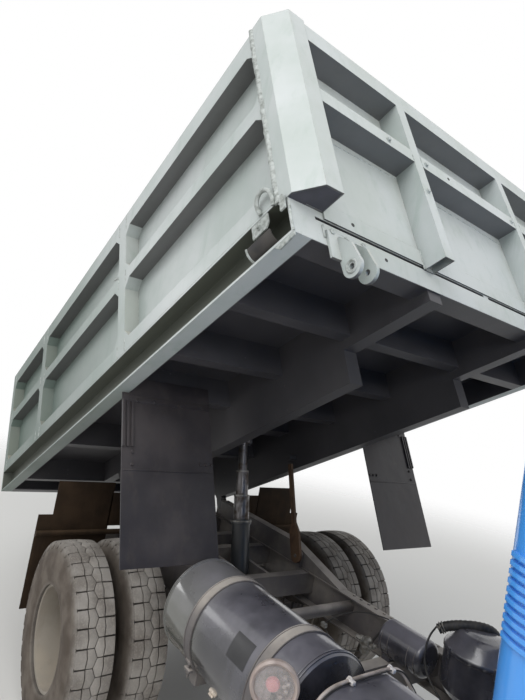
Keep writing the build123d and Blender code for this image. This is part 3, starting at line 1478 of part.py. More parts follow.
with BuildPart() as cab_shell:
    add(cab_form(0))
    with BuildSketch(Plane.XZ.offset(-cab_half_width - 50)):
        with Locations(((cab_back_x + front_axle_x) / 2 - 100, (below_cab + cab_back_bottom_z) / 2 - 100)):
            Rectangle(front_axle_x - cab_back_x + 200, cab_back_bottom_z - below_cab + 200)
        with Locations(((cab_front_x + front_axle_x) / 2 + 100, (below_cab + cab_front_bottom_z) / 2 - 100)):
            Rectangle(cab_front_x - front_axle_x + 200, cab_front_bottom_z - below_cab + 200)
        with Locations((front_axle_x, axle_z)):
            Circle(arch_radius)
    extrude(amount=2 * (cab_half_width + 50), mode=Mode.SUBTRACT)
    for index in range(gill_count):
        z = gill_bottom_z + index * gill_pitch
        with BuildSketch(Plane.XY.offset(z)) as gill:
            with Locations(((cab_back_x + cab_front_x) / 2, 0)):
                Rectangle(cab_front_x - cab_back_x, 2 * cab_half_width)
            fillet(gill.vertices().group_by(Axis.X)[0], radius=cab_corner_radius)
            offset(amount=gill_depth)
            with Locations((cab_back_x + gill_start + gill_length / 2, 0)):
                Rectangle(gill_length, 4 * cab_half_width, mode=Mode.INTERSECT)
            with Locations((cab_back_x + gill_start + gill_length / 2, 0)):
                Rectangle(gill_length, 2 * (cab_half_width - cab_corner_radius), mode=Mode.SUBTRACT)
        extrude(amount=gill_height)
    add(cab_form(cab_wall), mode=Mode.SUBTRACT)
    # Floor slab between the walls.
    with BuildPart(mode=Mode.PRIVATE) as slab:
        add(cab_form(cab_wall - 2))
        with BuildSketch(Plane.XY.offset(cab_floor_z)):
            with Locations((front_axle_x, 0)):
                Rectangle(4 * cab_half_width, 4 * cab_half_width)
        extrude(amount=cab_floor_thickness, mode=Mode.INTERSECT)
    add(slab.part)
    hump_back_x = engine_back_x - 40
    hump_front_x = engine_front_x + 40
    with BuildSketch(Plane.XY.offset(cab_floor_z)):
        with Locations(((hump_back_x + hump_front_x) / 2, 0)):
            Rectangle(hump_front_x - hump_back_x, 2 * hump_half_width)
    extrude(amount=hump_top_z - cab_floor_z)
    with BuildSketch(Plane.XY.offset(cab_floor_z)):
        with Locations(((hump_back_x + hump_front_x) / 2, 0)):
            Rectangle(hump_front_x - hump_back_x - 2 * hump_wall, 2 * (hump_half_width - hump_wall))
    extrude(amount=hump_top_z - hump_wall - cab_floor_z, mode=Mode.SUBTRACT)
    for side in (-1, 1):
        # Seat pedestal, legs onto the frame, step and hinge lugs.
        with BuildSketch(Plane.XY.offset(cab_floor_z + cab_floor_thickness - 2)):
            with Locations((pedestal_x, side * seat_y)):
                Rectangle(420, seat_width - 120)
        extrude(amount=seat_pedestal_top_z - cab_floor_z - cab_floor_thickness + 2)
        for x in leg_x:
            with BuildSketch(Plane.XY.offset(rail_top_z + fit_gap)):
                with Locations((x, side * (rail_outer_y - rail_flange / 2))):
                    Rectangle(leg_size, leg_size)
            extrude(amount=cab_floor_z - rail_top_z - fit_gap + 2)
        with BuildSketch(Plane.XY.offset(step_z)):
            with Locations(((step_back_x + step_front_x) / 2, side * (cab_half_width - 80))):
                Rectangle(step_front_x - step_back_x, 160)
        extrude(amount=step_height)
        for x in (step_back_x + 15, step_front_x - 15):
            with BuildSketch(Plane.XY.offset(step_z)):
                with Locations((x, side * (cab_half_width - cab_wall / 2))):
                    Rectangle(30, cab_wall)
            extrude(amount=cab_front_bottom_z - step_z + 4)
        for z in door_hinge_z:
            with BuildSketch(Plane.XY.offset(z)):
                with Locations((hinge_axis_x, side * hinge_axis_y)):
                    Circle(door_hinge_radius)
                with Locations((hinge_axis_x + 20, side * (cab_half_width + 5))):
                    Rectangle(40, 12)
            extrude(amount=door_hinge_height)
    cut = cab_wall + 2 * cut_margin
    for side in (-1, 1):
        doorway = door_prism(side, door_gap, door_bottom_z - door_gap, cab_half_width + cut_margin, cut)
        add(doorway, mode=Mode.SUBTRACT)
    pane_size = (pane_width, pane_height)
    screens = panes(screen_plane.offset(cut_margin), pane_size, 0, cut, screen_middles, pane_radius)
    add(screens, mode=Mode.SUBTRACT)
    back_light = panes(rear_window_plane.offset(cut_margin), rear_window, 0, cut, ((0, 0),), rear_window_radius)
    add(back_light, mode=Mode.SUBTRACT)
cab_shell.part.label = "cab_shell"
export_step(cab_shell.part, "parts/cab_shell.step")

# Cab glass: both windscreen panes and the rear window.
glass_depth = 16
cab_glass = panes(
    screen_plane.offset(-glass_depth), (pane_width, pane_height), fit_gap, glass_thickness, screen_middles, pane_radius
)
cab_glass = cab_glass + panes(
    rear_window_plane.offset(-glass_depth), rear_window, fit_gap, glass_thickness, ((0, 0),), rear_window_radius
)
cab_glass.label = "cab_glass"
export_step(cab_glass, "parts/cab_glass.step")

# Doors: the wall inside the door's outline, as thick as the wall, with hinge lugs and their glass.
for name, side in sides:
    with BuildPart() as door:
        add(cab_form(0))
        add(cab_form(cab_wall), mode=Mode.SUBTRACT)
        add(door_prism(side, 0, door_bottom_z, cab_half_width + cut_margin, cut), mode=Mode.INTERSECT)
        window = door_prism(side, -window_frame, window_bottom_z, cab_half_width + cut_margin, cut)
        add(window, mode=Mode.SUBTRACT)
        for z in door_hinge_z:
            for lug_z in (z - door_hinge_height / 2 - fit_gap, z + door_hinge_height + fit_gap):
                with BuildSketch(Plane.XY.offset(lug_z)):
                    with Locations((hinge_axis_x, side * hinge_axis_y)):
                        Circle(door_hinge_radius)
                    with Locations((hinge_axis_x - 20, side * (cab_half_width + 5))):
                        Rectangle(40, 12)
                extrude(amount=door_hinge_height / 2)
    door.part.label = f"door_{name}"
    export_step(door.part, f"parts/door_{name}.step")
    pane = door_prism(
        side, -window_frame - fit_gap, window_bottom_z + fit_gap, cab_half_width - glass_depth, glass_thickness
    )
    pane.label = f"door_glass_{name}"
    export_step(pane, f"parts/door_glass_{name}.step")

# Front grille: a rounded frame with slanted bars, seated on the cab's front.
grille_width = 1180
grille_height = 380
grille_z = 1000
grille_rim = 34
grille_depth = 26
grille_bars = 8
with BuildPart() as grille:
    with BuildSketch(Plane.YZ.offset(cab_front_x + fit_gap)):
        with Locations((0, grille_z)):
            RectangleRounded(grille_width, grille_height, 60)
            RectangleRounded(grille_width - 2 * grille_rim, grille_height - 2 * grille_rim, 40, mode=Mode.SUBTRACT)
    extrude(amount=grille_depth)
    bar_pitch = (grille_height - 2 * grille_rim) / (grille_bars + 1)
    for index in range(grille_bars):
        bar_z = grille_z - grille_height / 2 + grille_rim + (index + 1) * bar_pitch
        with BuildSketch(Plane.XZ.offset(-grille_width / 2 + 12)):
            with BuildLine():
                Polyline(
                    (cab_front_x + fit_gap, bar_z - 9),
                    (cab_front_x + grille_depth - 4, bar_z - 14),
                    (cab_front_x + grille_depth - 4, bar_z - 9),
                    (cab_front_x + 5, bar_z + 9),
                    (cab_front_x + fit_gap, bar_z + 9),
                    close=True,
                )
            make_face()
        extrude(amount=grille_width - 24)
grille.part.label = "grille"
export_step(grille.part, "parts/grille.step")

# Headlamps and the direction lamps above them.
headlamp_y = 790
front_lamps = (
    # z, radius, depth
    (960, 98, 46),
    (1130, 40, 26),
)
with BuildPart() as headlamps:
    for lamp_z, radius, depth in front_lamps:
        with BuildPart(mode=Mode.PRIVATE) as lamp:
            with BuildSketch(Plane.XZ):
                with BuildLine():
                    Polyline(
                        (0, 0),
                        (0, radius - 4),
                        (depth * 0.25, radius),
                        (depth * 0.55, radius),
                        (depth * 0.75, radius * 0.9),
                        (depth * 0.65, radius * 0.84),
                        (depth * 0.88, radius * 0.5),
                        (depth, 0),
                        close=True,
                    )
                make_face()
            revolve(axis=Axis.X)
        for side in (-1, 1):
            add(lamp.part.moved(Location((cab_front_x + fit_gap, side * headlamp_y, lamp_z))))
headlamps.part.label = "headlamps"
export_step(headlamps.part, "parts/headlamps.step")

# Mirrors on arms from the front pillars.
mirror_foot_x = hinge_axis_x + 26 + 12
mirror_foot_z = 2060
mirror_size = (24, 150, 270)
mirror_reach = 150
with BuildPart() as mirrors:
    for side in (-1, 1):
        foot_y = side * (cab_half_width + fit_gap)
        with BuildSketch(Plane.XZ.offset(-foot_y if side < 0 else -foot_y - mirror_reach)):
            with Locations((mirror_foot_x, mirror_foot_z)):
                Circle(10)
        extrude(amount=mirror_reach)
        with Locations((mirror_foot_x, side * (cab_half_width + mirror_reach), mirror_foot_z)):
            Box(mirror_size[0], mirror_size[1], mirror_size[2])
mirrors.part.label = "mirrors"
export_step(mirrors.part, "parts/mirrors.step")

# Seats: cushion and leaned back as one closed form on each pedestal.
with BuildPart() as seats:
    for side in (-1, 1):
        with BuildSketch(Plane.XZ.offset(-side * seat_y - seat_width / 2)) as seat_profile:
            with BuildLine():
                Polyline(
                    (pedestal_x - 220, seat_pedestal_top_z + fit_gap),
                    (pedestal_x + 260, seat_pedestal_top_z + fit_gap),
                    (pedestal_x + 300, seat_pedestal_top_z + 60),
                    (pedestal_x + 290, seat_pedestal_top_z + 135),
                    (pedestal_x - 130, seat_pedestal_top_z + 110),
                    (pedestal_x - 230, seat_pedestal_top_z + 700),
                    (pedestal_x - 330, seat_pedestal_top_z + 700),
                    (pedestal_x - 270, seat_pedestal_top_z + 60),
                    close=True,
                )
            make_face()
        extrude(amount=seat_width)
seats.part.label = "seats"
export_step(seats.part, "parts/seats.step")

# Dashboard along the front wall, with the fixed steering column.
dash_half_width = cab_half_width - cab_front_radius - 12
dash_front_x = cab_front_x - cab_wall - fit_gap
wheel_centre = Vector(front_axle_x + 360, seat_y, 1800)
column_foot = Vector(front_axle_x + 700, seat_y, cab_floor_z + cab_floor_thickness + 12)
column_run = wheel_centre - column_foot
column_radius = 24
hub_half = 22
with BuildPart() as dashboard:
    with BuildSketch(Plane.XZ.offset(-dash_half_width)):
        with BuildLine():
            Polyline(
                (dash_front_x, 1440),
                (dash_front_x - 150, 1460),
                (dash_front_x - 210, 1540),
                (dash_front_x - 190, 1640),
                (dash_front_x, 1670),
                close=True,
            )
        make_face()
    extrude(amount=2 * dash_half_width)
    with BuildSketch(Plane(origin=column_foot, x_dir=(0, 1, 0), z_dir=column_run)):
        Circle(column_radius)
    extrude(amount=column_run.length - hub_half - fit_gap)
dashboard.part.label = "dashboard"
export_step(dashboard.part, "parts/dashboard.step")

# Steering wheel: rim, three spokes and hub on the column's end.
steer_rim_radius = 225
steer_rim_tube = 13
with BuildPart() as steering_wheel:
    with BuildSketch(Plane.XZ):
        with Locations((steer_rim_radius, 0)):
            Circle(steer_rim_tube)
    revolve(axis=Axis.Z)
    with BuildSketch(Plane.XY.offset(-hub_half)):
        Circle(42)
    extrude(amount=2 * hub_half)
    with BuildSketch(Plane.XY.offset(-6)):
        with PolarLocations(steer_rim_radius / 2, 3):
            Rectangle(steer_rim_radius, 26)
    extrude(amount=10)
wheel_plane = Plane(origin=wheel_centre, x_dir=(0, 1, 0), z_dir=column_run)
steering_wheel.part = steering_wheel.part.moved(wheel_plane.location)
steering_wheel.part.label = "steering_wheel"
export_step(steering_wheel.part, "parts/steering_wheel.step")

# Inner mudguards over the front wheels, seated on the cab's skirt.
guard_thickness = 8
guard_inner_y = 560
guard_outer_y = cab_half_width - cab_wall - fit_gap
guard_end_z = cab_front_bottom_z + 20
with BuildPart() as mudguards:
    for side in (-1, 1):
        low_y = min(side * guard_inner_y, side * guard_outer_y)
        with BuildSketch(Plane.XZ.offset(-low_y - (guard_outer_y - guard_inner_y))):
            with Locations((front_axle_x, axle_z)):
                Circle(arch_radius)
                Circle(arch_radius - guard_thickness, mode=Mode.SUBTRACT)
            with Locations((front_axle_x, guard_end_z + arch_radius)):
                Rectangle(2 * arch_radius, 2 * arch_radius, mode=Mode.INTERSECT)
        extrude(amount=guard_outer_y - guard_inner_y)
mudguards.part.label = "front_mudguards"
export_step(mudguards.part, "parts/front_mudguards.step")
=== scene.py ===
import json
import math

import bmesh
import bpy
import numpy as np
from mathutils import Matrix, Vector


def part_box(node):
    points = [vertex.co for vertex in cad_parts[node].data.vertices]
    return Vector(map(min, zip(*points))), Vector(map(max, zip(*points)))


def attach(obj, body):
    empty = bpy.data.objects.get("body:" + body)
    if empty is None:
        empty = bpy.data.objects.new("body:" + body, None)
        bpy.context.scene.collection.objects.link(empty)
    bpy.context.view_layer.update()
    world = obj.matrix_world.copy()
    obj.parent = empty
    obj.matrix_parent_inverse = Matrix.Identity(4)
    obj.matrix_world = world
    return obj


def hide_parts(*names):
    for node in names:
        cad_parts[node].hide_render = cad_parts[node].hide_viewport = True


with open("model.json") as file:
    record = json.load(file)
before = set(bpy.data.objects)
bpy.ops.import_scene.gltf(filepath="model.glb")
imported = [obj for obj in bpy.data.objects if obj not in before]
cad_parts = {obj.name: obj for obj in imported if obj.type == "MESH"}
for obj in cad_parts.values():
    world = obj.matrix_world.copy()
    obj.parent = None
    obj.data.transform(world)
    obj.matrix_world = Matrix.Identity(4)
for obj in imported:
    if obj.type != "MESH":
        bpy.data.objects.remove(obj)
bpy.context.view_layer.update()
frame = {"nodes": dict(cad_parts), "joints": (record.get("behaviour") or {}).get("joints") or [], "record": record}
joints = {joint["name"]: joint for joint in frame["joints"]}
print("frame loaded:", len(frame["nodes"]), "CAD nodes")

# Places that the whole script uses, read from the frame
hinge = np.array(joints["bed_tip"]["pos_m"])
bedTilt = math.radians(-joints["bed_tip"]["range_deg"][0])
tyreLow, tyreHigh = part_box("rear_tyres_right")
rearAxleX = (tyreLow.x + tyreHigh.x) / 2
axleZ = (tyreLow.z + tyreHigh.z) / 2
tyreRadius = axleZ - tyreLow.z
frontTyreLow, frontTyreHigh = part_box("front_tyre_right")
frontAxleX = (frontTyreLow.x + frontTyreHigh.x) / 2


def hexColour(text):
    # sRGB to linear, channel by channel: c / 12.92 under 0.04045, else ((c + 0.055) / 1.055) to the 2.4
    channels = [int(text[i:i + 2], 16) / 255 for i in (1, 3, 5)]
    return tuple(c / 12.92 if c <= 0.04045 else ((c + 0.055) / 1.055) ** 2.4 for c in channels) + (1.0,)


def perMm(size):
    return 1000 / size  # a texture scale whose features are about this many millimetres wide


def fromAxle(x, y, z):
    return np.array((rearAxleX + x, y, z))  # x counted forward from the rear axle, all in metres


def allFromAxle(points):
    return np.asarray(points, float) + (rearAxleX, 0, 0)


def raised(points):
    # points of the lowered bed turned about the rear hinge: x' = x cos - z sin, z' = x sin + z cos
    points = np.atleast_2d(np.asarray(points, float))
    x = points[:, 0] + rearAxleX - hinge[0]
    z = points[:, 2] - hinge[2]
    c, s = math.cos(bedTilt), math.sin(bedTilt)
    return np.stack((hinge[0] + x * c - z * s, points[:, 1], hinge[2] + x * s + z * c), axis=1)


# Materials
def feed(tree, node, links):
    # a link is an input's name or number with a value, or with another node's output
    for key, value in links.items():
        if isinstance(value, bpy.types.NodeSocket):
            tree.links.new(value, node.inputs[key])
        else:
            node.inputs[key].default_value = value


def addNode(tree, kind, settings, links, output=None):
    # one node with its settings and links: gives the node itself, or the output that is asked for
    node = tree.nodes.new("ShaderNode" + kind)
    for key, value in settings.items():
        setattr(node, key, value)
    feed(tree, node, links)
    return node if output is None else node.outputs[output]


# settings that many nodes share: a smooth step, a mix of two colours, and sums kept between 0 and 1
smoothStep, twoColours = {"interpolation_type": "SMOOTHSTEP"}, {"data_type": "RGBA"}
product, total, larger, less = (
    {"operation": how, "use_clamp": True} for how in ("MULTIPLY", "ADD", "MAXIMUM", "SUBTRACT"))


def startMaterial(name):
    material = bpy.data.materials.new(name)
    material.use_nodes = True
    tree = material.node_tree
    place = addNode(tree, "TexCoord", {}, {}, "Object")
    return material, tree, tree.nodes["Principled BSDF"], place


def bedPlace(tree, place):
    # Object coordinates brought back to the lowered bed: x from the rear axle, z from the ground
    away = addNode(tree, "VectorMath", {"operation": "SUBTRACT"}, {0: place, 1: (hinge[0], 0, hinge[2])}, 0)
    turned = addNode(tree, "Mapping", {}, {
        "Vector": away, "Rotation": (0, bedTilt, 0), "Location": (hinge[0] - rearAxleX, 0, hinge[2])}, 0)
    return addNode(tree, "SeparateXYZ", {}, {0: turned}).outputs


# limits on the lowered bed as (axis, outside, inside): the underside between the beams' faces and below
# the floor, the sills' backs, and inside a sill its web and lower flange, where the channel gets painted shade
underside = {"web": ("Y", 1.1475, 1.146), "flange": ("Z", 1.2215, 1.2225), "back": ("Y", 1.073, 1.070),
             "front": ("X", 1.9975, 1.9955), "rear": ("X", -1.742, -1.74), "floor": ("Z", 1.3722, 1.3712),
             "sillChannelShade": ("Y", 1.070, 1.073), "sillFace": ("Y", 1.073, 1.076), "sillFoot": ("Z", 1.26, 1.25)}


def bedLimits(tree, local):
    # each limit as a mask that is 1 inside it; across the bed both sides count alike
    across = addNode(tree, "Math", {"operation": "ABSOLUTE"}, {0: local["Y"]}, 0)
    return {name: addNode(tree, "MapRange", smoothStep, {
        0: across if axis == "Y" else local[axis], 1: outside, 2: inside}, 0)
        for name, (axis, outside, inside) in underside.items()}


def underBed(tree, limit):
    # 1 on everything below the floor between the end beams' outer faces, and inside the sills' open channels,
    # which are dark with painted shade
    channel = addNode(tree, "Math", product, {0: limit["web"], 1: limit["flange"]}, 0)
    reach = addNode(tree, "Math", larger, {0: limit["back"], 1: channel}, 0)
    length = addNode(tree, "Math", product, {0: limit["front"], 1: limit["rear"]}, 0)
    within = addNode(tree, "Math", product, {0: reach, 1: length}, 0)
    return addNode(tree, "Math", product, {0: within, 1: limit["floor"]}, 0)


def weatheredPaint(look):
    # Enamel on steel: two close tones in clouds, streaks down the sheet, dirt and painted shade in hollows,
    # dust on what faces up, painted shade on the bed's downward faces, and chips down to primer and rust;
    # each mask is a smooth step of a noise of real size
    material, tree, shader, place = startMaterial(look["name"])
    if look.get("onBed"):
        local = bedPlace(tree, place)
        limit = bedLimits(tree, local)
    else:
        away = addNode(tree, "VectorMath", {"operation": "SUBTRACT"}, {0: place, 1: (rearAxleX, 0, 0)}, 0)
        local = addNode(tree, "SeparateXYZ", {}, {0: away}).outputs
    turned = addNode(tree, "Mapping", {}, {"Vector": place, "Rotation": (0, look.get("turn", 0), 0),
                                           "Scale": (1, 1, look.get("streakStretch", 0.12))}, 0)
    clouds, streaks, specks, grain = (addNode(tree, "TexNoise", {}, {
        "Vector": where, "Scale": perMm(look[size]), "Detail": detail, "Roughness": rough}, "Fac")
        for where, size, detail, rough in (
            (place, "cloudSize", 5.0, 0.6), (turned, "streakSize", 4.0, 0.65), (place, "chipSize", 6.0, 0.7),
            (place, "grainSize", 3.0, 0.5)))
    rounded = addNode(tree, "Bevel", {"samples": 4}, {"Radius": 0.003}, 0)
    face = addNode(tree, "NewGeometry", {}, {}, "Normal")
    alike = addNode(tree, "VectorMath", {"operation": "DOT_PRODUCT"}, {0: rounded, 1: face}, "Value")
    up = addNode(tree, "SeparateXYZ", {}, {0: face}, "Z")
    # masks by name: the value that each follows, where it starts and ends, and what it gives there
    mask = {name: addNode(tree, "MapRange", smoothStep, {0: value, 1: start, 2: end, 3: least, 4: most}, 0)
            for name, value, start, end, least, most in (
                ("tones", clouds, 0.35, 0.68, 0, 1), ("streaks", streaks, 0.5, 0.78, 0, look["streakAmount"]),
                ("level", up, 0.1, 0.95, 0, 1), ("settled", clouds, 0.3, 0.62, 0.35, 1),
                ("film", clouds, 0.42, 0.75, 0, look["dustFilm"]), ("edge", alike, 0.995, 0.86, 0, 1),
                ("chips", specks, look["chipStart"], look["chipStart"] + 0.03, 0, 1),
                ("worn", specks, 0.46, 0.56, 0, look["edgeWear"]), ("rusty", streaks, 0.4, 0.6, 0, 1),
                ("sheen", clouds, 0.3, 0.7, -0.04, 0.08))}
    layers = [(mask["tones"], hexColour(look["toneTwo"])), (mask["streaks"], hexColour(look["streakTone"]))]
    # darker in hollows by ambient occlusion, broken up by the streaks: dirt and painted shade
    if look.get("hollow"):
        exposed = addNode(tree, "AmbientOcclusion", {"samples": 4}, {"Distance": look["hollow"]}, "AO")
        shut = addNode(tree, "MapRange", smoothStep, {0: exposed, 1: 0.75, 2: 0.2}, 0)
        uneven = addNode(tree, "MapRange", smoothStep, {0: streaks, 1: 0.3, 2: 0.6, 3: 0.4}, 0)
        dirt = addNode(tree, "Math", product, {0: shut, 1: uneven}, 0)
        dirt = addNode(tree, "Math", product, {0: dirt, 1: look["dirtAmount"]}, 0)
        layers.append((dirt, hexColour(look["dirtTone"])))
    # each band is a slow change of tone along one axis: axis, from, to, tone, amount
    for axis, low, high, tone, amount in look.get("bands", ()):
        band = addNode(tree, "MapRange", smoothStep, {0: local[axis], 1: low, 2: high, 4: amount}, 0)
        layers.append((band, hexColour(tone)))
    if look.get("onBed"):
        # faces that look down get painted shade, but the sills' lower flanges stay pale
        down = addNode(tree, "MapRange", smoothStep, {0: up, 1: -0.3, 2: -0.8, 4: look["shadeAmount"]}, 0)
        foot = addNode(tree, "Math", product, {0: limit["sillFace"], 1: limit["sillFoot"]}, 0)
        shade = addNode(tree, "Math", less, {0: down, 1: foot}, 0)
        layers.append((shade, hexColour(look["shadeTone"])))
    dust = addNode(tree, "Math", product, {0: mask["level"], 1: mask["settled"]}, 0)
    dust = addNode(tree, "Math", product, {0: dust, 1: look["dustAmount"]}, 0)
    dust = addNode(tree, "Math", total, {0: dust, 1: mask["film"]}, 0)
    worn = addNode(tree, "Math", product, {0: mask["edge"], 1: mask["worn"]}, 0)
    chipped = addNode(tree, "Math", total, {0: mask["chips"], 1: worn}, 0)
    bare = addNode(tree, "Mix", twoColours, {
        0: mask["rusty"], 6: hexColour(look["primer"]), 7: hexColour(look["rust"])}, 2)
    layers += [(dust, hexColour(look["dustTone"])), (chipped, bare)]
    if look.get("onBed"):
        # bitumen underseal below the floor, with pale scuffs where the paint shows through; inside the sills'
        # channels a dark grey-green is painted shade
        scuffs = addNode(tree, "MapRange", smoothStep, {0: specks, 1: 0.66, 2: 0.72}, 0)
        patches = addNode(tree, "MapRange", smoothStep, {0: clouds, 1: 0.35, 2: 0.7}, 0)
        seal = hexColour("#39383B")
        for part, tone in ((scuffs, "#767170"), (patches, "#474547"), (limit["sillChannelShade"], "#4C4F47")):
            seal = addNode(tree, "Mix", twoColours, {0: part, 6: seal, 7: hexColour(tone)}, 2)
        layers.append((underBed(tree, limit), seal))
    colour = hexColour(look["tone"])
    for part, tone in layers:
        colour = addNode(tree, "Mix", twoColours, {0: part, 6: colour, 7: tone}, 2)
    matt = addNode(tree, "Math", total, {0: dust, 1: chipped}, 0)
    rough = addNode(tree, "Mix", {"data_type": "FLOAT"}, {0: matt, 2: look["gloss"], 3: 0.85}, 0)
    rough = addNode(tree, "Math", total, {0: rough, 1: mask["sheen"]}, 0)
    relief = addNode(tree, "Bump", {"invert": True}, {
        "Height": chipped, "Strength": 0.35, "Distance": 0.0006, "Normal": rounded}, 0)
    relief = addNode(tree, "Bump", {}, {
        "Height": grain, "Strength": look["grainStrength"], "Distance": 0.001, "Normal": relief}, 0)
    if look.get("dentSize"):
        dents = addNode(tree, "TexNoise", {}, {
            "Vector": place, "Scale": perMm(look["dentSize"]), "Detail": 1.5}, "Fac")
        relief = addNode(tree, "Bump", {}, {
            "Height": dents, "Strength": look["dentStrength"], "Distance": 0.02, "Normal": relief}, 0)
    feed(tree, shader, {
        "Base Color": colour, "Roughness": rough, "Normal": relief, "Metallic": 0.0, "Coat Roughness": 0.12,
        "Specular IOR Level": look.get("specular", 0.5), "Coat Weight": look.get("coat", 0.0)})
    return material


def paintLook(name, paint, streaks, dust, chips, surface, **more):
    # paint is two tones and the clouds' size, streaks are tone, size and amount, dust is tone, amount on
    # what faces up and film all over, chips are primer, rust, size, start and wear at edges, surface is
    # gloss, grain and its strength
    keys = ("tone", "toneTwo", "cloudSize", "streakTone", "streakSize", "streakAmount", "dustTone",
            "dustAmount", "dustFilm", "primer", "rust", "chipSize", "chipStart", "edgeWear", "gloss",
            "grainSize", "grainStrength")
    return {"name": name, **dict(zip(keys, paint + streaks + dust + chips + surface)), **more}


looks = {
    # alkyd enamel brushed over pressed sheet: a chalky grey-green with rain streaks, dents and rust at chips,
    # dirt and painted shade in hollows, and painted shade under what faces down and inside the sills' channels
    "bed_paint": paintLook("alkydEnamelGreyGreen", ("#B4B9B8", "#A4ADA9", 620), ("#8C9C93", 60, 0.4),
        ("#B9AFA0", 0.45, 0.0), ("#6F7771", "#6A4A34", 26, 0.71, 0.6), (0.42, 5, 0.08), streakStretch=0.16,
        turn=bedTilt, hollow=0.11, dirtTone="#5C625C", dirtAmount=0.55, onBed=True,
        bands=(("X", 1.5, -1.0, "#56655D", 0.9),), shadeTone="#4A4849", shadeAmount=0.85, dentSize=210,
        dentStrength=0.16),
    # stoved gloss enamel on a pressed cab: a bright blue with a wet shine and light dust
    "cab_paint": paintLook("stovedEnamelBlue", ("#4A9CEE", "#4292E4", 900), ("#5FA2DC", 70, 0.25),
        ("#9AA6AE", 0.3, 0.0), ("#7D868A", "#5F4636", 22, 0.76, 0.15), (0.22, 9, 0.03), coat=0.5),
    # brushed black chassis paint: satin black, grey with road film, brown where it flakes
    "chassis_paint": paintLook("chassisBlackBrushed", ("#545051", "#65605C", 300), ("#6A635C", 50, 0.5),
        ("#A9A199", 0.95, 0.28), ("#3A332D", "#55392A", 18, 0.68, 0.5), (0.5, 6, 0.2)),
    # sprayed dark grey enamel on a folded channel: soft gloss, stone chips
    "bumper_paint": paintLook("sprayedEnamelDarkGrey", ("#4A4C4E", "#434648", 420), ("#5A5955", 45, 0.35),
        ("#8B8479", 0.4, 0.0), ("#7D7A74", "#5D4030", 16, 0.7, 0.4), (0.38, 6, 0.08)),
    # dipped gloss black on a rolled tank: deep black with a grey bloom of dry dust at one end
    "tank_paint": paintLook("dippedEnamelBlack", ("#212126", "#2B2B31", 380), ("#55555F", 90, 0.35),
        ("#8B8890", 0.45, 0.16), ("#3A3735", "#4F3A2E", 14, 0.74, 0.2), (0.13, 22, 0.03), coat=0.7,
        bands=(("X", 1.13, 0.97, "#63635E", 0.8),)),
    # satin black on cut sheet steel: flat, scuffed, brown dust in the creases
    "flap_paint": paintLook("satinBlackSheet", ("#232126", "#2C292F", 460), ("#403B38", 60, 0.4),
        ("#665F58", 0.4, 0.12), ("#474340", "#5B4131", 20, 0.69, 0.45), (0.34, 8, 0.12), specular=0.35,
        dentSize=130, dentStrength=0.22),
    # calendered rubber sheet: matt brown-black, dusty at its lower edge
    "flap_rubber": paintLook("calenderedRubberSheet", ("#2A2017", "#33271C", 200), ("#46382A", 60, 0.5),
        ("#5F4E3C", 0.3, 0.12), ("#2E2A27", "#3A332D", 20, 0.8, 0.1), (0.72, 4, 0.25), specular=0.15),
    # oil-tempered spring steel: black scale with brown rust between the leaves
    "spring_steel": paintLook("oilTemperedSpringSteel", ("#24211F", "#332B25", 90), ("#4E3A2C", 30, 0.6),
        ("#6B6155", 0.5, 0.2), ("#4A3B30", "#6B452D", 12, 0.66, 0.5), (0.6, 3, 0.3)),
    # sand-cast iron: dull grey, coarse skin, oily dirt
    "engine_iron": paintLook(
        "sandCastIron", ("#4A4947", "#3C3A37", 160), ("#2A2622", 60, 0.6), ("#6F675C", 0.5, 0.2),
        ("#5A534C", "#6B4A34", 14, 0.68, 0.3), (0.65, 4, 0.5)),
    # brushed grey enamel under an oil film: the barrel looks dark and slightly wet
    "cylinder_paint": paintLook("brushedEnamelOily", ("#3B3D3F", "#2F3133", 140), ("#201F1E", 40, 0.6),
        ("#6B645A", 0.4, 0.1), ("#59564F", "#5E432F", 12, 0.72, 0.3), (0.35, 6, 0.1)),
    # aluminised steel after years of heat: brown scale with grey showing through
    "exhaust_steel": paintLook("aluminisedSteelScaled", ("#5B5048", "#6E655E", 110), ("#4A3326", 40, 0.7),
        ("#7B7166", 0.5, 0.15), ("#7A4B2E", "#8A5530", 16, 0.6, 0.6), (0.7, 3, 0.35)),
    # bare bar with the paint long gone: brown mill scale and rust
    "prop_paint": paintLook(
        "rustedBarBrown", ("#5E4733", "#4A3628", 70), ("#6F4E33", 25, 0.6), ("#7D6D5A", 0.4, 0.0),
        ("#3C2E25", "#7A4A2A", 9, 0.6, 0.5), (0.7, 3, 0.4)),
    # dusty stoved grey on a rolled rim: pale grey-brown, rust at the bead
    "rim_paint": paintLook(
        "stovedGreyRim", ("#8F887E", "#817A70", 150), ("#675D50", 60, 0.5), ("#A59B8C", 0.5, 0.3),
        ("#6E6254", "#6F4D35", 16, 0.68, 0.35), (0.6, 5, 0.15)),
}
materials = {slot: weatheredPaint(look) for slot, look in looks.items()}


def groundSteel():
    # Ground cylinder steel under oil: grey metal with fine rings round the stage, brown film in patches
    material, tree, shader, place = startMaterial("groundSteelOiled")
    rings = addNode(tree, "Mapping", {}, {"Vector": place, "Scale": (0.1, 0.1, 1.0)}, 0)
    fine = addNode(tree, "TexNoise", {}, {"Vector": rings, "Scale": perMm(1.5), "Detail": 3.0}, "Fac")
    film = addNode(tree, "TexNoise", {}, {"Vector": place, "Scale": perMm(45), "Detail": 4.0}, "Fac")
    brown = addNode(tree, "MapRange", smoothStep, {0: film, 1: 0.45, 2: 0.7}, 0)
    feed(tree, shader, {
        "Base Color": addNode(tree, "Mix", twoColours,
                              {0: brown, 6: hexColour("#6A6869"), 7: hexColour("#4A4038")}, 2),
        "Roughness": addNode(tree, "MapRange", smoothStep, {0: film, 1: 0.35, 2: 0.7, 3: 0.28, 4: 0.6}, 0),
        "Normal": addNode(tree, "Bump", {}, {"Height": fine, "Strength": 0.1, "Distance": 0.0005}, 0),
        "Metallic": 0.85})
    return material


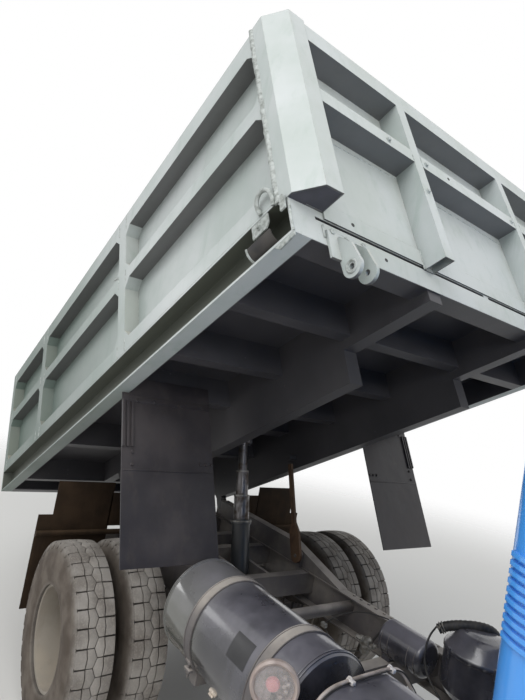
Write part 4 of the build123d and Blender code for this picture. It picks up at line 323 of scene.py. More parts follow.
def tyreRubber():
    # Moulded tyre rubber: pale road dust on the blocks' faces, near black in the grooves, brown walls; the
    # grooves' near black grows with depth and is black rubber and painted shade; the mesh's attributes say how
    # deep in a groove a point is and whether it is on the wall
    material, tree, shader, place = startMaterial("mouldedTyreRubber")
    groove, wall = (addNode(tree, "Attribute", {"attribute_name": name}, {}, "Fac")
                    for name in ("grooveDepth", "wallShare"))
    clouds, grit = (
        addNode(tree, "TexNoise", {}, {"Vector": place, "Scale": perMm(size), "Detail": 5.0}, "Fac")
        for size in (140, 9))
    rubbed, gritty, worn, rough = (
        addNode(tree, "MapRange", smoothStep, {0: value, 1: start, 2: end, 3: least, 4: most}, 0)
        for value, start, end, least, most in (
            (clouds, 0.38, 0.66, 0, 1), (grit, 0.45, 0.75, 0, 0.5), (clouds, 0.35, 0.65, 0, 1),
            (clouds, 0.3, 0.7, 0.78, 0.95)))
    side = addNode(tree, "Mix", twoColours, {0: worn, 6: hexColour("#6D645B"), 7: hexColour("#544B43")}, 2)
    colour = hexColour("#8F8A84")
    # the last layer makes the grooves near black by depth: black rubber and painted shade
    for part, tone in ((rubbed, hexColour("#736D67")), (gritty, hexColour("#9E978E")), (wall, side),
                       (groove, hexColour("#1E1A17"))):
        colour = addNode(tree, "Mix", twoColours, {0: part, 6: colour, 7: tone}, 2)
    relief = addNode(tree, "Bump", {}, {"Height": grit, "Strength": 0.3, "Distance": 0.0015}, 0)
    feed(tree, shader, {
        "Base Color": colour, "Roughness": rough, "Normal": relief, "Specular IOR Level": 0.3})
    return material


def glass(name, tint, rough, alpha):
    # Soda-lime glass: a faint tint, seen mostly by its reflections; alpha lets the inside show cleanly
    material, tree, shader, place = startMaterial(name)
    smear = addNode(tree, "TexNoise", {}, {"Vector": place, "Scale": perMm(160), "Detail": 4.0}, "Fac")
    feed(tree, shader, {
        "Roughness": addNode(tree, "MapRange", smoothStep,
                             {0: smear, 1: 0.4, 2: 0.75, 3: rough, 4: rough + 0.12}, 0),
        "Alpha": addNode(tree, "MapRange", smoothStep,
                         {0: smear, 1: 0.35, 2: 0.8, 3: alpha, 4: alpha + 0.12}, 0),
        "Base Color": hexColour(tint), "IOR": 1.52})
    return material


def plainPart(name, tone, toneTwo, rough, grainSize, grain, metal=0.0, cloudSize=60):
    # A small moulded or turned part: two close tones in clouds and a fine grain in the surface
    material, tree, shader, place = startMaterial(name)
    clouds = addNode(tree, "TexNoise", {}, {"Vector": place, "Scale": perMm(cloudSize), "Detail": 4.0}, "Fac")
    fine = addNode(tree, "TexNoise", {}, {"Vector": place, "Scale": perMm(grainSize), "Detail": 3.0}, "Fac")
    share = addNode(tree, "MapRange", smoothStep, {0: clouds, 1: 0.35, 2: 0.7}, 0)
    sheen = {0: clouds, 1: 0.3, 2: 0.7, 3: rough - 0.05, 4: rough + 0.1}
    feed(tree, shader, {
        "Base Color": addNode(tree, "Mix", twoColours,
                              {0: share, 6: hexColour(tone), 7: hexColour(toneTwo)}, 2),
        "Roughness": addNode(tree, "MapRange", smoothStep, sheen, 0),
        "Normal": addNode(tree, "Bump", {}, {"Height": fine, "Strength": grain, "Distance": 0.0008}, 0),
        "Metallic": metal})
    return material


materials["cylinder_steel"] = groundSteel()
materials["tyre_rubber"] = tyreRubber()
materials["window_glass"] = glass("toughenedWindowGlass", "#26302E", 0.03, 0.22)
materials["lamp_glass"] = glass("pressedLampGlass", "#D9D6D2", 0.06, 0.12)
# injection-moulded ABS: black with a fine even grain and a soft sheen
materials["trim_plastic"] = plainPart("mouldedPlasticBlack", "#1D1D1E", "#262626", 0.45, 1.5, 0.2)
# calendered vinyl over foam: black leathercloth with a pebble grain
materials["seat_vinyl"] = plainPart("calenderedVinylBlack", "#222120", "#2D2B2A", 0.5, 2.5, 0.5)
# extruded nitrile hose: matt black, greyed with dust
hoseRubber = plainPart("extrudedHoseRubber", "#1F1E1F", "#3A3734", 0.6, 3, 0.25)
# zinc-plated fixings: dull silver gone grey
zincSteel = plainPart("zincPlatedSteel", "#8C8B88", "#6B655C", 0.45, 2, 0.2, metal=0.6, cloudSize=20)
# weld metal under paint: lumpy grey-green like the bed
weldPaint = plainPart("paintedWeldMetal", "#A7ACA9", "#7E837E", 0.5, 3, 0.5, cloudSize=16)
# pale flexible cable sheath: cream PVC gone dusty
paleSheath = plainPart("extrudedPvcCream", "#B5AAA2", "#8E8279", 0.5, 4, 0.1)
# nylon clip, moulded white
whiteNylon = plainPart("mouldedNylonWhite", "#D9D4D0", "#C2BBB6", 0.4, 3, 0.1)
# ribbed acrylic lenses in orange and red
orangeAcrylic = plainPart("mouldedAcrylicOrange", "#D9701A", "#C8600F", 0.2, 4, 0.15)
redAcrylic = plainPart("mouldedAcrylicRed", "#A81A16", "#8E1310", 0.2, 4, 0.15)
# vacuum-plated reflector: bright aluminium
reflectorChrome = plainPart("vacuumPlatedReflector", "#D5D6D6", "#C4C6C8", 0.12, 6, 0.02, metal=1.0)
# moulded lamp rim: pale aged polycarbonate
paleRim = plainPart("mouldedRimAged", "#A89A92", "#8F8079", 0.45, 4, 0.12)
# a bulb's pink-red coating
bulbRed = plainPart("lacqueredBulbPink", "#D2898A", "#BE6C70", 0.35, 6, 0.1)
print("materials:", len(bpy.data.materials))

for subpart in frame["record"]["subparts"]:
    part = frame["nodes"][subpart["node"]]
    part.data.materials.clear()
    part.data.materials.append(materials[subpart["material_slot"]])


# Mesh helpers
pole = 0.0005  # the radius that stands for the axis itself in a turned profile


def gridFaces(rows, columns, start=0, closeRows=False, closeColumns=False):
    # quads of a grid of points numbered row by row; a closed direction joins its last line to its first
    r = np.arange(rows if closeRows else rows - 1)
    c = np.arange(columns if closeColumns else columns - 1)
    r, c = np.meshgrid(r, c, indexing="ij")
    nextR, nextC = (r + 1) % rows, (c + 1) % columns
    quads = np.stack((r * columns + c, r * columns + nextC, nextR * columns + nextC, nextR * columns + c),
                     axis=-1)
    return quads.reshape(-1, 4) + start


def finishPiece(name, points, faces, body, material, slot=None, smooth=True, weld=True):
    mesh = bpy.data.meshes.new(name)
    faceList = faces.tolist() if isinstance(faces, np.ndarray) else [list(map(int, face)) for face in faces]
    mesh.from_pydata(np.asarray(points, float).reshape(-1, 3).tolist(), [], faceList)
    mesh.validate()
    work = bmesh.new()
    work.from_mesh(mesh)
    if weld:
        bmesh.ops.remove_doubles(work, verts=work.verts, dist=0.00001)
    bmesh.ops.recalc_face_normals(work, faces=work.faces)
    work.to_mesh(mesh)
    work.free()
    piece = bpy.data.objects.new(name, mesh)
    bpy.context.scene.collection.objects.link(piece)
    piece.data.materials.append(material)
    if smooth:
        mesh.shade_smooth()
        mesh.set_sharp_from_angle(angle=math.radians(38))
    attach(piece, body)
    return piece


def finishParts(name, parts, *rest, **more):
    return finishPiece(name, *joinMeshes(parts), *rest, **more)


def finishPairs(name, parts, *rest, **more):
    # each part is made on both sides of the truck
    return finishPiece(name, *joinMeshes(bothSides(parts)), *rest, **more)


def smoothPath(points, count):
    # a quadratic B-spline through the middles of the runs, from end to end: each span is
    # (1 - t)^2 / 2 a + (1/2 + t - t^2) b + t^2 / 2 c, with the end points doubled
    points = np.asarray(points, float)
    padded = np.vstack((2 * points[:1] - points[1:2], points, 2 * points[-1:] - points[-2:-1]))
    spans = len(padded) - 2
    u = np.linspace(0.5, spans - 0.5, count)
    index = np.minimum(u.astype(int), spans - 1)
    t = (u - index)[:, None]
    a, b, c = padded[index], padded[index + 1], padded[index + 2]
    return (1 - t) ** 2 / 2 * a + (0.5 + t - t ** 2) * b + t ** 2 / 2 * c


def tubeMesh(path, radius, sides=10, lean=(0.31, 0.17, 0.93)):
    # circles of the given radius carried along a path: p + r (cos a u + sin a v), u and v square to the path
    path = np.asarray(path, float)
    along = np.gradient(path, axis=0)
    along /= np.linalg.norm(along, axis=1, keepdims=True)
    u = np.cross(along, np.asarray(lean, float))
    u /= np.linalg.norm(u, axis=1, keepdims=True)
    v = np.cross(along, u)
    angle = np.linspace(0, 2 * np.pi, sides, endpoint=False)
    radius = np.broadcast_to(np.asarray(radius, float), (len(path),))[:, None, None]
    ring = np.cos(angle)[None, :, None] * u[:, None] + np.sin(angle)[None, :, None] * v[:, None]
    rings = path[:, None] + radius * ring
    points = rings.reshape(-1, 3)
    faces = gridFaces(len(path), sides, closeColumns=True).tolist()
    faces.append(list(range(sides))[::-1])
    faces.append(list(range(len(points) - sides, len(points))))
    return points, faces


def curvedTube(points, count, radius, sides=8):
    return tubeMesh(allFromAxle(smoothPath(points, count)), radius, sides)


def joinMeshes(parts):
    # several (points, faces) pairs as one, each face list shifted by the points before it
    points, faces, shift = [], [], 0
    for partPoints, partFaces in parts:
        partPoints = np.asarray(partPoints, float).reshape(-1, 3)
        points.append(partPoints)
        faces += [[int(i) + shift for i in face] for face in partFaces]
        shift += len(partPoints)
    return np.vstack(points), faces


def revolvedMesh(profile, centre, axis, segments=48, closed=True):
    # a profile of (radius, distance along the axis) turned round it: centre + d axis + r (cos a u + sin a v)
    profile = np.asarray(profile, float)
    axis = np.asarray(axis, float) / np.linalg.norm(axis)
    u = np.cross(axis, (0.0, 0.0, 1.0) if abs(axis[2]) < 0.9 else (1.0, 0.0, 0.0))
    u /= np.linalg.norm(u)
    v = np.cross(axis, u)
    angle = np.linspace(0, 2 * np.pi, segments, endpoint=False)
    ring = np.cos(angle)[:, None] * u + np.sin(angle)[:, None] * v
    middles = np.asarray(centre, float) + profile[None, :, 1, None] * axis
    points = middles + profile[None, :, 0, None] * ring[:, None]
    faces = gridFaces(segments, len(profile), closeRows=True, closeColumns=closed).tolist()
    return points.reshape(-1, 3), faces


def boxMesh(centre, size, axes=np.eye(3)):
    # the eight corners centre +- size / 2 along three axes, and six faces
    corners = np.array([(x, y, z) for x in (-0.5, 0.5) for y in (-0.5, 0.5) for z in (-0.5, 0.5)])
    points = np.asarray(centre, float) + (corners * np.asarray(size, float)) @ np.asarray(axes, float)
    faces = [(0, 1, 3, 2), (4, 6, 7, 5), (0, 4, 5, 1), (2, 3, 7, 6), (0, 2, 6, 4), (1, 5, 7, 3)]
    return points, faces


def boltHeads(places, normals, across, height, washer=0.0, sides=6):
    # a prism with a turned-down top and a washer at each place: rings of (radius, height) about the normal
    places = np.atleast_2d(np.asarray(places, float))
    normals = np.broadcast_to(np.atleast_2d(np.asarray(normals, float)), places.shape)
    normals = normals / np.linalg.norm(normals, axis=1, keepdims=True)
    reference = np.where(np.abs(normals[:, 2:3]) < 0.9, (0.0, 0.0, 1.0), (1.0, 0.0, 0.0))
    u = np.cross(normals, reference)
    u /= np.linalg.norm(u, axis=1, keepdims=True)
    v = np.cross(normals, u)
    outer = across / 2 / math.cos(math.pi / 6) if sides == 6 else across / 2
    rings = [(outer, washer), (outer, height - across * 0.06), (outer * 0.86, height)]
    if washer:
        rings = [(outer * 1.35, -0.001), (outer * 1.35, washer * 0.8), (outer * 1.25, washer)] + rings
    else:
        rings[0] = (outer, -0.001)
    rings = np.array(rings)
    angle = np.linspace(0, 2 * np.pi, sides * (2 if washer and sides == 6 else 1), endpoint=False)
    if washer and sides == 6:
        # a hexagon drawn with twelve points, so that the washer under it can be rounder
        flat = np.where(np.arange(12) % 2 == 0, 1.0, math.cos(math.pi / 6))
        shape = np.ones((len(rings), 12))
        shape[3:] = flat
    else:
        shape = np.ones((len(rings), len(angle)))
    direction = np.cos(angle)[None, :, None] * u[:, None] + np.sin(angle)[None, :, None] * v[:, None]
    points = (places[:, None, None] + rings[None, :, None, 1:2] * normals[:, None, None]
              + (rings[None, :, None, 0:1] * shape[None, :, :, None]) * direction[:, None])
    count, ringCount, around = points.shape[:3]
    quads = gridFaces(ringCount, around, closeColumns=True)
    shifts = np.arange(count) * ringCount * around
    faces = (quads[None] + shifts[:, None, None]).reshape(-1, 4).tolist()
    cap = np.arange(around) + (ringCount - 1) * around
    faces += (cap[None] + shifts[:, None]).tolist()
    return points.reshape(-1, 3), faces


def loopMesh(path, radius, sides=8):
    # a tube whose path closes on itself: p + r (cos a u + sin a n), n the loop's normal, u square to n
    path = np.asarray(path, float)
    along = np.roll(path, -1, axis=0) - np.roll(path, 1, axis=0)
    along /= np.linalg.norm(along, axis=1, keepdims=True)
    middle = path - path.mean(axis=0)
    normal = np.cross(middle, np.roll(middle, -1, axis=0)).sum(axis=0)
    normal /= np.linalg.norm(normal)
    u = np.cross(along, normal)
    u /= np.linalg.norm(u, axis=1, keepdims=True)
    angle = np.linspace(0, 2 * np.pi, sides, endpoint=False)
    points = path[:, None] + radius * (np.cos(angle)[None, :, None] * u[:, None]
                                       + np.sin(angle)[None, :, None] * normal)
    return points.reshape(-1, 3), gridFaces(len(path), sides, closeRows=True, closeColumns=True).tolist()


def torusMesh(centre, axis, radius, thick, segments=56, sides=8):
    # a small circle carried round a large one: (R + r cos a, r sin a) turned about the axis
    a = np.linspace(0, 2 * np.pi, sides, endpoint=False)
    return revolvedMesh(np.stack((radius + thick * np.cos(a), thick * np.sin(a)), axis=1), centre, axis,
                        segments)


def roundedBox(centre, size, edge, axes=np.eye(3)):
    # a box with quarter-round edges: the nearest point of the inner box plus the edge radius outward
    half = np.asarray(size, float) / 2
    edge = min(edge, half.min() * 0.96)
    ticks = [np.array((-h, -h + 0.41 * edge, -h + edge, h - edge, h - 0.41 * edge, h)) for h in half]
    parts = []
    for k in range(3):
        i, j = (k + 1) % 3, (k + 2) % 3
        for sign in (-1, 1):
            spot = np.zeros((6, 6, 3))
            spot[..., i], spot[..., j] = np.meshgrid(ticks[i], ticks[j], indexing="ij")
            spot[..., k] = sign * half[k]
            core = np.clip(spot, edge - half, half - edge)
            way = spot - core
            spot = core + edge * way / np.linalg.norm(way, axis=-1, keepdims=True)
            parts.append((np.asarray(centre, float) + spot.reshape(-1, 3) @ np.asarray(axes, float),
                          gridFaces(6, 6)))
    return joinMeshes(parts)


def plateMesh(outline, thickness, origin, across, upward, edge=0.0012):
    # a flat outline pushed along its normal, its top edge eased: origin + u across + v upward + h normal
    outline = np.asarray(outline, float)
    across, upward = (np.asarray(a, float) / np.linalg.norm(a) for a in (across, upward))
    normal = np.cross(across, upward)
    middle = outline.mean(axis=0)
    shrunk = middle + (outline - middle) * (1 - edge / np.linalg.norm(outline - middle, axis=1).max())
    points = np.concatenate([
        np.asarray(origin, float) + ring[:, :1] * across + ring[:, 1:] * upward + h * normal
        for ring, h in ((outline, 0.0), (outline, thickness - edge), (shrunk, thickness))])
    count = len(outline)
    faces = gridFaces(3, count, closeColumns=True).tolist()
    return points, faces + [list(range(count))[::-1], list(range(2 * count, 3 * count))]


def rectangle(width, height):
    return np.array(((-1, -1), (1, -1), (1, 1), (-1, 1))) * (width / 2, height / 2)


def wheelRing(count, phase=0.0):
    # unit directions square to an axle, evenly spaced
    turn = np.arange(count) * 2 * np.pi / count + phase
    return np.stack((np.cos(turn), np.zeros(count), np.sin(turn)), axis=1)


def mirrored(mesh):
    return np.asarray(mesh[0]) * (1, -1, 1), [list(face)[::-1] for face in mesh[1]]


def bothSides(parts):
    return list(parts) + [mirrored(part) for part in parts]


def weldBead(start, end, width, normal, ripple=0.006, seed=1):
    # a flattened half-round strip with ripples that wanders: height (1 - q^2) (0.75 + 0.25 |sin|)
    start, end = np.asarray(start, float), np.asarray(end, float)
    normal = np.asarray(normal, float) / np.linalg.norm(normal)
    length = np.linalg.norm(end - start)
    along = (end - start) / length
    side = np.cross(normal, along)
    count = max(6, int(length / ripple * 3))
    s = np.linspace(0, 1, count)
    q = np.linspace(-1, 1, 6)
    wander = np.random.default_rng(seed).normal(0, 1, count)
    wander = np.convolve(wander, np.ones(5) / 5, mode="same") * width * 0.12
    swell = 0.75 + 0.25 * np.abs(np.sin(s * length / ripple * np.pi))
    points = (start + s[:, None, None] * (end - start)
              + (q[None, :, None] * (width / 2 * (0.85 + 0.15 * swell))[:, None, None]
                 + wander[:, None, None]) * side
              + ((1 - q[None, :, None] ** 2) * (width * 0.42 * swell)[:, None, None] - 0.0008) * normal)
    faces = gridFaces(count, 6).tolist()
    pointCount = count * 6
    faces.append(list(range(6))[::-1])
    faces.append(list(range(pointCount - 6, pointCount)))
    return points.reshape(-1, 3), faces


# Tyres: a turned casing with moulded rings, and a tread of staggered blocks in four rows
tyre = {
    "width": 0.235, "treadWidth": 0.184, "bead": 0.254, "wall": 0.022, "pitches": 36, "grooveDepth": 0.0125,
    "crown": 0.005, "chamfer": 0.0022, "segments": 144}
# each row: the near edge at its corners and at its middle, the far edge the same, all in metres across
# the tread, the shift along in pitches, and the width of the cross groove; rows two and three interlock
# like hexagons
treadRows = (
    (-0.0920, -0.0920, -0.0455, -0.0405, 0.0, 0.0088),
    (-0.0410, -0.0360, -0.0100, 0.0065, 0.0, 0.0050),
    (0.0090, -0.0075, 0.0360, 0.0410, 0.5, 0.0050),
    (0.0405, 0.0455, 0.0920, 0.0920, 0.5, 0.0088),
)


def crownRadius(y):
    # the tread's radius falls with the square of the distance from its middle line
    return tyreRadius - tyre["crown"] * (y / (tyre["treadWidth"] / 2)) ** 2


def treadBlocks(middleY):
    # one block is an eight-sided outline in (turn, across); its rings are base, chamfer foot and face
    pitch = 2 * np.pi / tyre["pitches"]
    parts = []
    for lowCorner, lowMiddle, highCorner, highMiddle, shift, groove in treadRows:
        slot = groove / 2 / tyreRadius / pitch
        turns = np.array((slot, 0.5, 1 - slot, 1 - slot, 1 - slot, 0.5, slot, slot))
        middle = (lowCorner + highCorner) / 2
        across = np.array((lowCorner, lowMiddle, lowCorner, middle, highCorner, highMiddle, highCorner,
                           middle))
        outward = np.array((0, 0, 0.12, 0.35, 0.12, 0, -0.12, -0.35)) * slot * 0.8
        rings = []
        for depth, shrink in ((tyre["grooveDepth"], 0.0), (tyre["chamfer"], 0.0), (0.0, tyre["chamfer"])):
            shareTurn = 1 - shrink / (0.5 * pitch * tyreRadius)
            shareAcross = 1 - shrink / ((highCorner - lowCorner) / 2)
            ringTurns = 0.5 + (turns + outward - 0.5) * shareTurn
            ringAcross = middle + (across - middle) * shareAcross
            rings.append(np.stack((ringTurns, ringAcross, crownRadius(ringAcross) - depth), axis=1))
        rings = np.array(rings)
        steps = np.arange(tyre["pitches"])[:, None, None]
        angle = (steps + shift + rings[None, :, :, 0]) * pitch
        radius = np.broadcast_to(rings[None, :, :, 2], angle.shape)
        y = np.broadcast_to(rings[None, :, :, 1], angle.shape) + middleY
        points = np.stack((radius * np.cos(angle), y, radius * np.sin(angle)), axis=-1)
        quads = gridFaces(3, 8, closeColumns=True)
        shifts = np.arange(tyre["pitches"]) * 24
        faces = (quads[None] + shifts[:, None, None]).reshape(-1, 4).tolist()
        faces += (np.arange(8)[None] + 16 + shifts[:, None]).tolist()
        parts.append((points.reshape(-1, 3), faces))
    return joinMeshes(parts)


def tyreCasing(middleY):
    # the section's outside as a curve of radius over width: a flat groove floor, shoulders that turn down
    # in an arc, and walls that bulge to the full width, with thin moulded rings standing 1 to 2 mm proud
    half, treadHalf = tyre["width"] / 2, tyre["treadWidth"] / 2
    floor = tyre["grooveDepth"]
    wallTop, wallLow = tyreRadius - 0.03, tyre["bead"] + 0.004
    t = np.linspace(0, 1, 22)
    radius = wallTop + (wallLow - wallTop) * t
    wide = half * (1 - 0.16 * (1 - t) ** 2.2 - 0.36 * np.clip(t - 0.42, 0, 1) ** 1.8)
    for place, size, height in ((0.10, 0.03, 0.0020), (0.34, 0.02, 0.0016), (0.62, 0.02, 0.0014),
                                (0.86, 0.04, 0.0026)):
        wide = wide + height * np.exp(-((t - place) / size) ** 2)
    turn = np.linspace(0, np.pi / 2, 5)[:-1]
    shoulderR = wallTop + (tyreRadius - floor - 0.003 - wallTop) * np.cos(turn)
    shoulderY = treadHalf + (wide[0] - treadHalf) * np.sin(turn)
    treadY = np.linspace(0, treadHalf, 5)[:-1]
    treadR = crownRadius(treadY) - floor
    sideR = np.concatenate((treadR, shoulderR, radius))
    sideY = np.concatenate((treadY, shoulderY, wide))
    inside = tyreRadius - tyre["wall"] - floor
    innerR = np.array((wallLow, tyre["bead"] + 0.09, inside, inside))
    innerY = np.array((wide[-1] - tyre["wall"], half - tyre["wall"] - 0.006, treadHalf - 0.02, 0.0))
    allR = np.concatenate((sideR, innerR))
    allY = np.concatenate((sideY, innerY))
    profile = np.stack((np.concatenate((allR, allR[-2:0:-1])), np.concatenate((allY, -allY[-2:0:-1]))),
                       axis=1)
    return revolvedMesh(profile, (0, middleY, 0), (0, 1, 0), tyre["segments"])


def shoulderLugs(middleY):
    # the shoulder blocks' outer ends run down the shoulder as short buttresses between the cross grooves
    half, treadHalf = tyre["width"] / 2, tyre["treadWidth"] / 2
    pitch = 2 * np.pi / tyre["pitches"]
    parts = []
    for side, shift in ((-1, 0.0), (1, 0.5)):
        drop = np.array((0.0, 0.010, 0.024, 0.036))
        width = np.array((0.0, 0.0065, 0.0115, 0.0142))
        share = np.array((0.10, 0.12, 0.16, 0.30))
        turns = np.stack((share, 1 - share), axis=1)
        steps = np.arange(tyre["pitches"])[:, None, None]
        angle = (steps + shift + turns[None]) * pitch
        radius = np.broadcast_to((crownRadius(treadHalf) - tyre["chamfer"] - drop)[None, :, None],
                                 angle.shape)
        outY = side * (treadHalf - 0.001 + width)[None, :, None] + middleY
        inY = side * (treadHalf - 0.02 + width * 0.2)[None, :, None] + middleY
        outer = np.stack((radius * np.cos(angle), np.broadcast_to(outY, angle.shape), radius * np.sin(angle)),
                         axis=-1)
        inner = np.stack(((radius - 0.012) * np.cos(angle), np.broadcast_to(inY, angle.shape),
                          (radius - 0.012) * np.sin(angle)), axis=-1)
        loop = np.concatenate((outer, inner[:, ::-1]), axis=1)
        points = loop.reshape(-1, 3)
        quads = gridFaces(8, 2, closeRows=True)
        shifts = np.arange(tyre["pitches"]) * 16
        faces = (quads[None] + shifts[:, None, None]).reshape(-1, 4).tolist()
        ends = np.array([[0, 2, 4, 6, 8, 10, 12, 14], [15, 13, 11, 9, 7, 5, 3, 1]])
        faces += (ends[None] + shifts[:, None, None]).reshape(-1, 8).tolist()
        parts.append((points, faces))
    return joinMeshes(parts)


tyreSets = (
    # node, body, axle x, wheel middles across the truck
    ("rear_tyres_left", "rear_wheels_left", rearAxleX, 2),
    ("rear_tyres_right", "rear_wheels_right", rearAxleX, 2),
    ("front_tyre_left", "front_wheel_left", frontAxleX, 1),
    ("front_tyre_right", "front_wheel_right", frontAxleX, 1),
)
for nodeName, body, axleX, count in tyreSets:
    low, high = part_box(nodeName)
    middles = (low.y + tyre["width"] / 2, high.y - tyre["width"] / 2)[:count]
    parts = []
    for middleY in middles:
        parts += [tyreCasing(middleY), treadBlocks(middleY), shoulderLugs(middleY)]
    points, faces = joinMeshes(parts)
    radial = np.hypot(points[:, 0], points[:, 2])
    across = np.min([np.abs(points[:, 1] - middleY) for middleY in middles], axis=0)
    # depth in a groove, from 0 to 1, which darkens the rubber: black rubber and painted shade
    depth = np.clip((tyreRadius - 0.004 - radial) / tyre["grooveDepth"], 0, 1)
    depth = np.where(across < tyre["treadWidth"] / 2 + 0.002, depth, 0.25 * np.clip(depth, 0, 1))
    piece = finishPiece("tread_" + nodeName, points + (axleX, 0, axleZ), faces, body,
                        materials["tyre_rubber"], "tyre_rubber", weld=False)
    wall = np.clip((across - tyre["treadWidth"] / 2 - 0.004) / 0.01, 0, 1)
    for key, value in (("grooveDepth", depth), ("wallShare", wall)):
        attribute = piece.data.attributes.new(key, "FLOAT", "POINT")
        attribute.data.foreach_set("value", value.astype(np.float32))
    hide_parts(nodeName)
print("tyres done")

# Bed: beads where rails meet posts, seams of the front wall, and the fittings at the front corner
bedAxes = np.array(((math.cos(bedTilt), 0, math.sin(bedTilt)), (0, 1, 0),
                    (-math.sin(bedTilt), 0, math.cos(bedTilt))))
bedForward, bedUp = bedAxes[0], bedAxes[2]
bedDetail = {"postBead": 0.026, "railBead": 0.008, "seamBead": 0.006, "side": -1.1503, "front": 2.1003,
             "postEdges": (0.740, 0.650, -0.725, -0.815, -1.665),
             "rails": ((1.376, 1.442), (1.790, 1.860), (2.140, 2.236))}


def bedBead(start, end, width, normal, ripple=0.008, seed=1):
    return weldBead(*raised((start, end)), width, normal, ripple, seed)


beads = [bedBead((1.9535, -1.1515, 1.352), (1.9535, -1.1515, 2.246), bedDetail["postBead"], (0, -1, 0),
                 0.012, 3)]
for number, x in enumerate(bedDetail["postEdges"]):
    for low, high in bedDetail["rails"]:
        beads.append(bedBead((x, bedDetail["side"], low), (x, bedDetail["side"], high), bedDetail["railBead"],
                             (0, -1, 0), seed=5 + number))
for y in (-0.460, -0.400):
    beads.append(bedBead((bedDetail["front"], y, 1.790), (bedDetail["front"], y, 1.860), 0.008, bedForward,
                         seed=9))
    beads.append(bedBead((2.0068, y + (y + 0.43) * 0.1, 1.300), (2.0068, y + (y + 0.43) * 0.1, 1.392), 0.009,
                         bedForward, seed=12))
beads += [bedBead(*row) for row in (
    # the front wall's two seams, the kink of the mid rail, the sill's end and the clevises' feet
    ((2.0008, -1.000, 1.744), (2.0008, -0.465, 1.776), bedDetail["seamBead"], bedForward, 0.008, 14),
    ((2.0008, -0.395, 1.752), (2.0008, 0.0, 1.758), bedDetail["seamBead"], bedForward, 0.008, 15),
    ((0.596, -1.151, 1.882), (0.640, -1.151, 1.868), 0.016, (0, -1, 0), 0.010, 17),
    ((2.0005, -1.148, 1.214), (2.0005, -1.148, 1.318), 0.012, bedForward, 0.011, 18),
    ((2.002, -1.012, 1.240), (2.002, -1.012, 1.290), 0.010, bedForward, 0.008, 19),
    ((2.002, -0.905, 1.222), (2.002, -0.905, 1.282), 0.010, bedForward, 0.008, 20))]
finishPairs("bedWeldBeads", beads, "bed", weldPaint)

# Corner latch: plate, tongue, hook and a rubber cup, each with its place along and above the lowered bed
latch = {"plate": (1.851, 1.338), "cup": (1.792, 1.272), "cupRadius": 0.046, "cupWall": 0.006,
         "cupLength": 0.125}
cupTurn = np.linspace(-np.pi, 0, 13)
cupArc = np.stack((np.cos(cupTurn), np.sin(cupTurn)), axis=1)
cupOutline = np.concatenate((cupArc * latch["cupRadius"],
                             cupArc[::-1] * (latch["cupRadius"] - latch["cupWall"])))
cupPlace = raised((latch["cup"][0], -1.124, latch["cup"][1]))[0]
cup = plateMesh(cupOutline, latch["cupLength"], cupPlace, (0, 1, 0), bedUp)
cupEdge = np.column_stack((np.full(13, -0.001), cupArc * latch["cupRadius"]))
latchParts = [
    plateMesh(((-0.045, -0.030), (0.030, -0.030), (0.045, -0.012), (0.045, 0.026), (-0.045, 0.026)), 0.006,
              raised((latch["plate"][0], -1.143, latch["plate"][1]))[0], bedForward, bedUp),
    plateMesh(((-0.045, 0.0), (0.052, 0.0), (0.052, -0.014), (-0.020, -0.022)), 0.006,
              raised((1.950, -1.144, 1.2095))[0], bedForward, bedUp),
    plateMesh(((-0.014, 0.0), (0.010, 0.0), (0.013, 0.046), (0.004, 0.058), (-0.010, 0.054)), 0.007,
              raised((1.986, -1.1585, 1.302))[0], bedForward, bedUp),
    tubeMesh(cupPlace + cupEdge @ bedAxes, 0.0048, 8),
    boltHeads(raised((latch["plate"][0], -1.149, latch["plate"][1])), (0, -1, 0), 0.019, 0.012, 0.002),
    tubeMesh(raised(smoothPath(((1.868, -1.152, 1.372), (1.864, -1.164, 1.396), (1.878, -1.172, 1.424),
                                (1.908, -1.174, 1.436), (1.936, -1.170, 1.420), (1.944, -1.162, 1.388),
                                (1.936, -1.154, 1.360)), 30)), 0.0082, 10)]
finishPairs("bedCornerLatches", latchParts, "bed", weldPaint)
finishPairs("bedCornerCups", [cup], "bed", hoseRubber)
# a dark plate closes each post a few millimetres above its foot, between the skin and the two walls; its
# dark grey is painted shade for the post's hollow inside
footOutline = np.array(((1.959, 1.077), (2.0075, 1.077), (2.0075, 1.004), (2.1010, 1.004), (2.1010, 1.0765),
                        (2.0205, 1.1490), (1.959, 1.1490))) - (2.0, 1.09)
postFoot = plateMesh(footOutline, 0.004, raised((2.0, -1.09, 1.349))[0], bedForward, (0, -1, 0), 0.0006)
finishPairs("bedPostFeet", [postFoot], "bed", plainPart(
    "paintedShadePostFootGrey", "#3D3C42", "#4A4950", 0.6, 6, 0.15))

# Clevis washers, bolts and gussets on the front beam, and bolts through the mid rail and the stiffeners
clevisX, clevisZ = fromAxle(1.65052, 0, 0)[0], 2.41263
fixings = [torusMesh((clevisX, y, clevisZ), (0, 1, 0), 0.020, 0.0045, 32) for y in (-0.9635, -0.9485)]
fixings += [
    boltHeads(raised(((2.0005, -0.982, 1.268), (2.0005, -0.830, 1.268))), bedForward, 0.019, 0.014, 0.002),
    plateMesh(((0, 0), (0.040, 0), (0, 0.062)), 0.008, raised((2.0003, -0.919, 1.222))[0], bedForward, bedUp),
    boltHeads(raised(((2.1005, -0.368, 1.822), (2.1005, -0.620, 1.822), (2.1005, -0.43, 1.640))), bedForward,
              0.017, 0.009, 0.002)]
finishPairs("bedFrontFixings", fixings, "bed", weldPaint)
# holes are drawn as thin black discs: their black is painted shade for the holes' insides
holeShadeDiscs = boltHeads(raised(((2.1004, -0.195, 1.829), (2.0006, 0.020, 1.352), (2.0066, -0.857, 1.352),
                          (2.0066, 0.565, 1.352), (2.0004, -0.700, 1.262), (2.0004, 0.420, 1.262))),
                  bedForward, 0.016, 0.0012, sides=14)
finishPiece("bedHoleShadeDiscs", *holeShadeDiscs, "bed", hoseRubber)

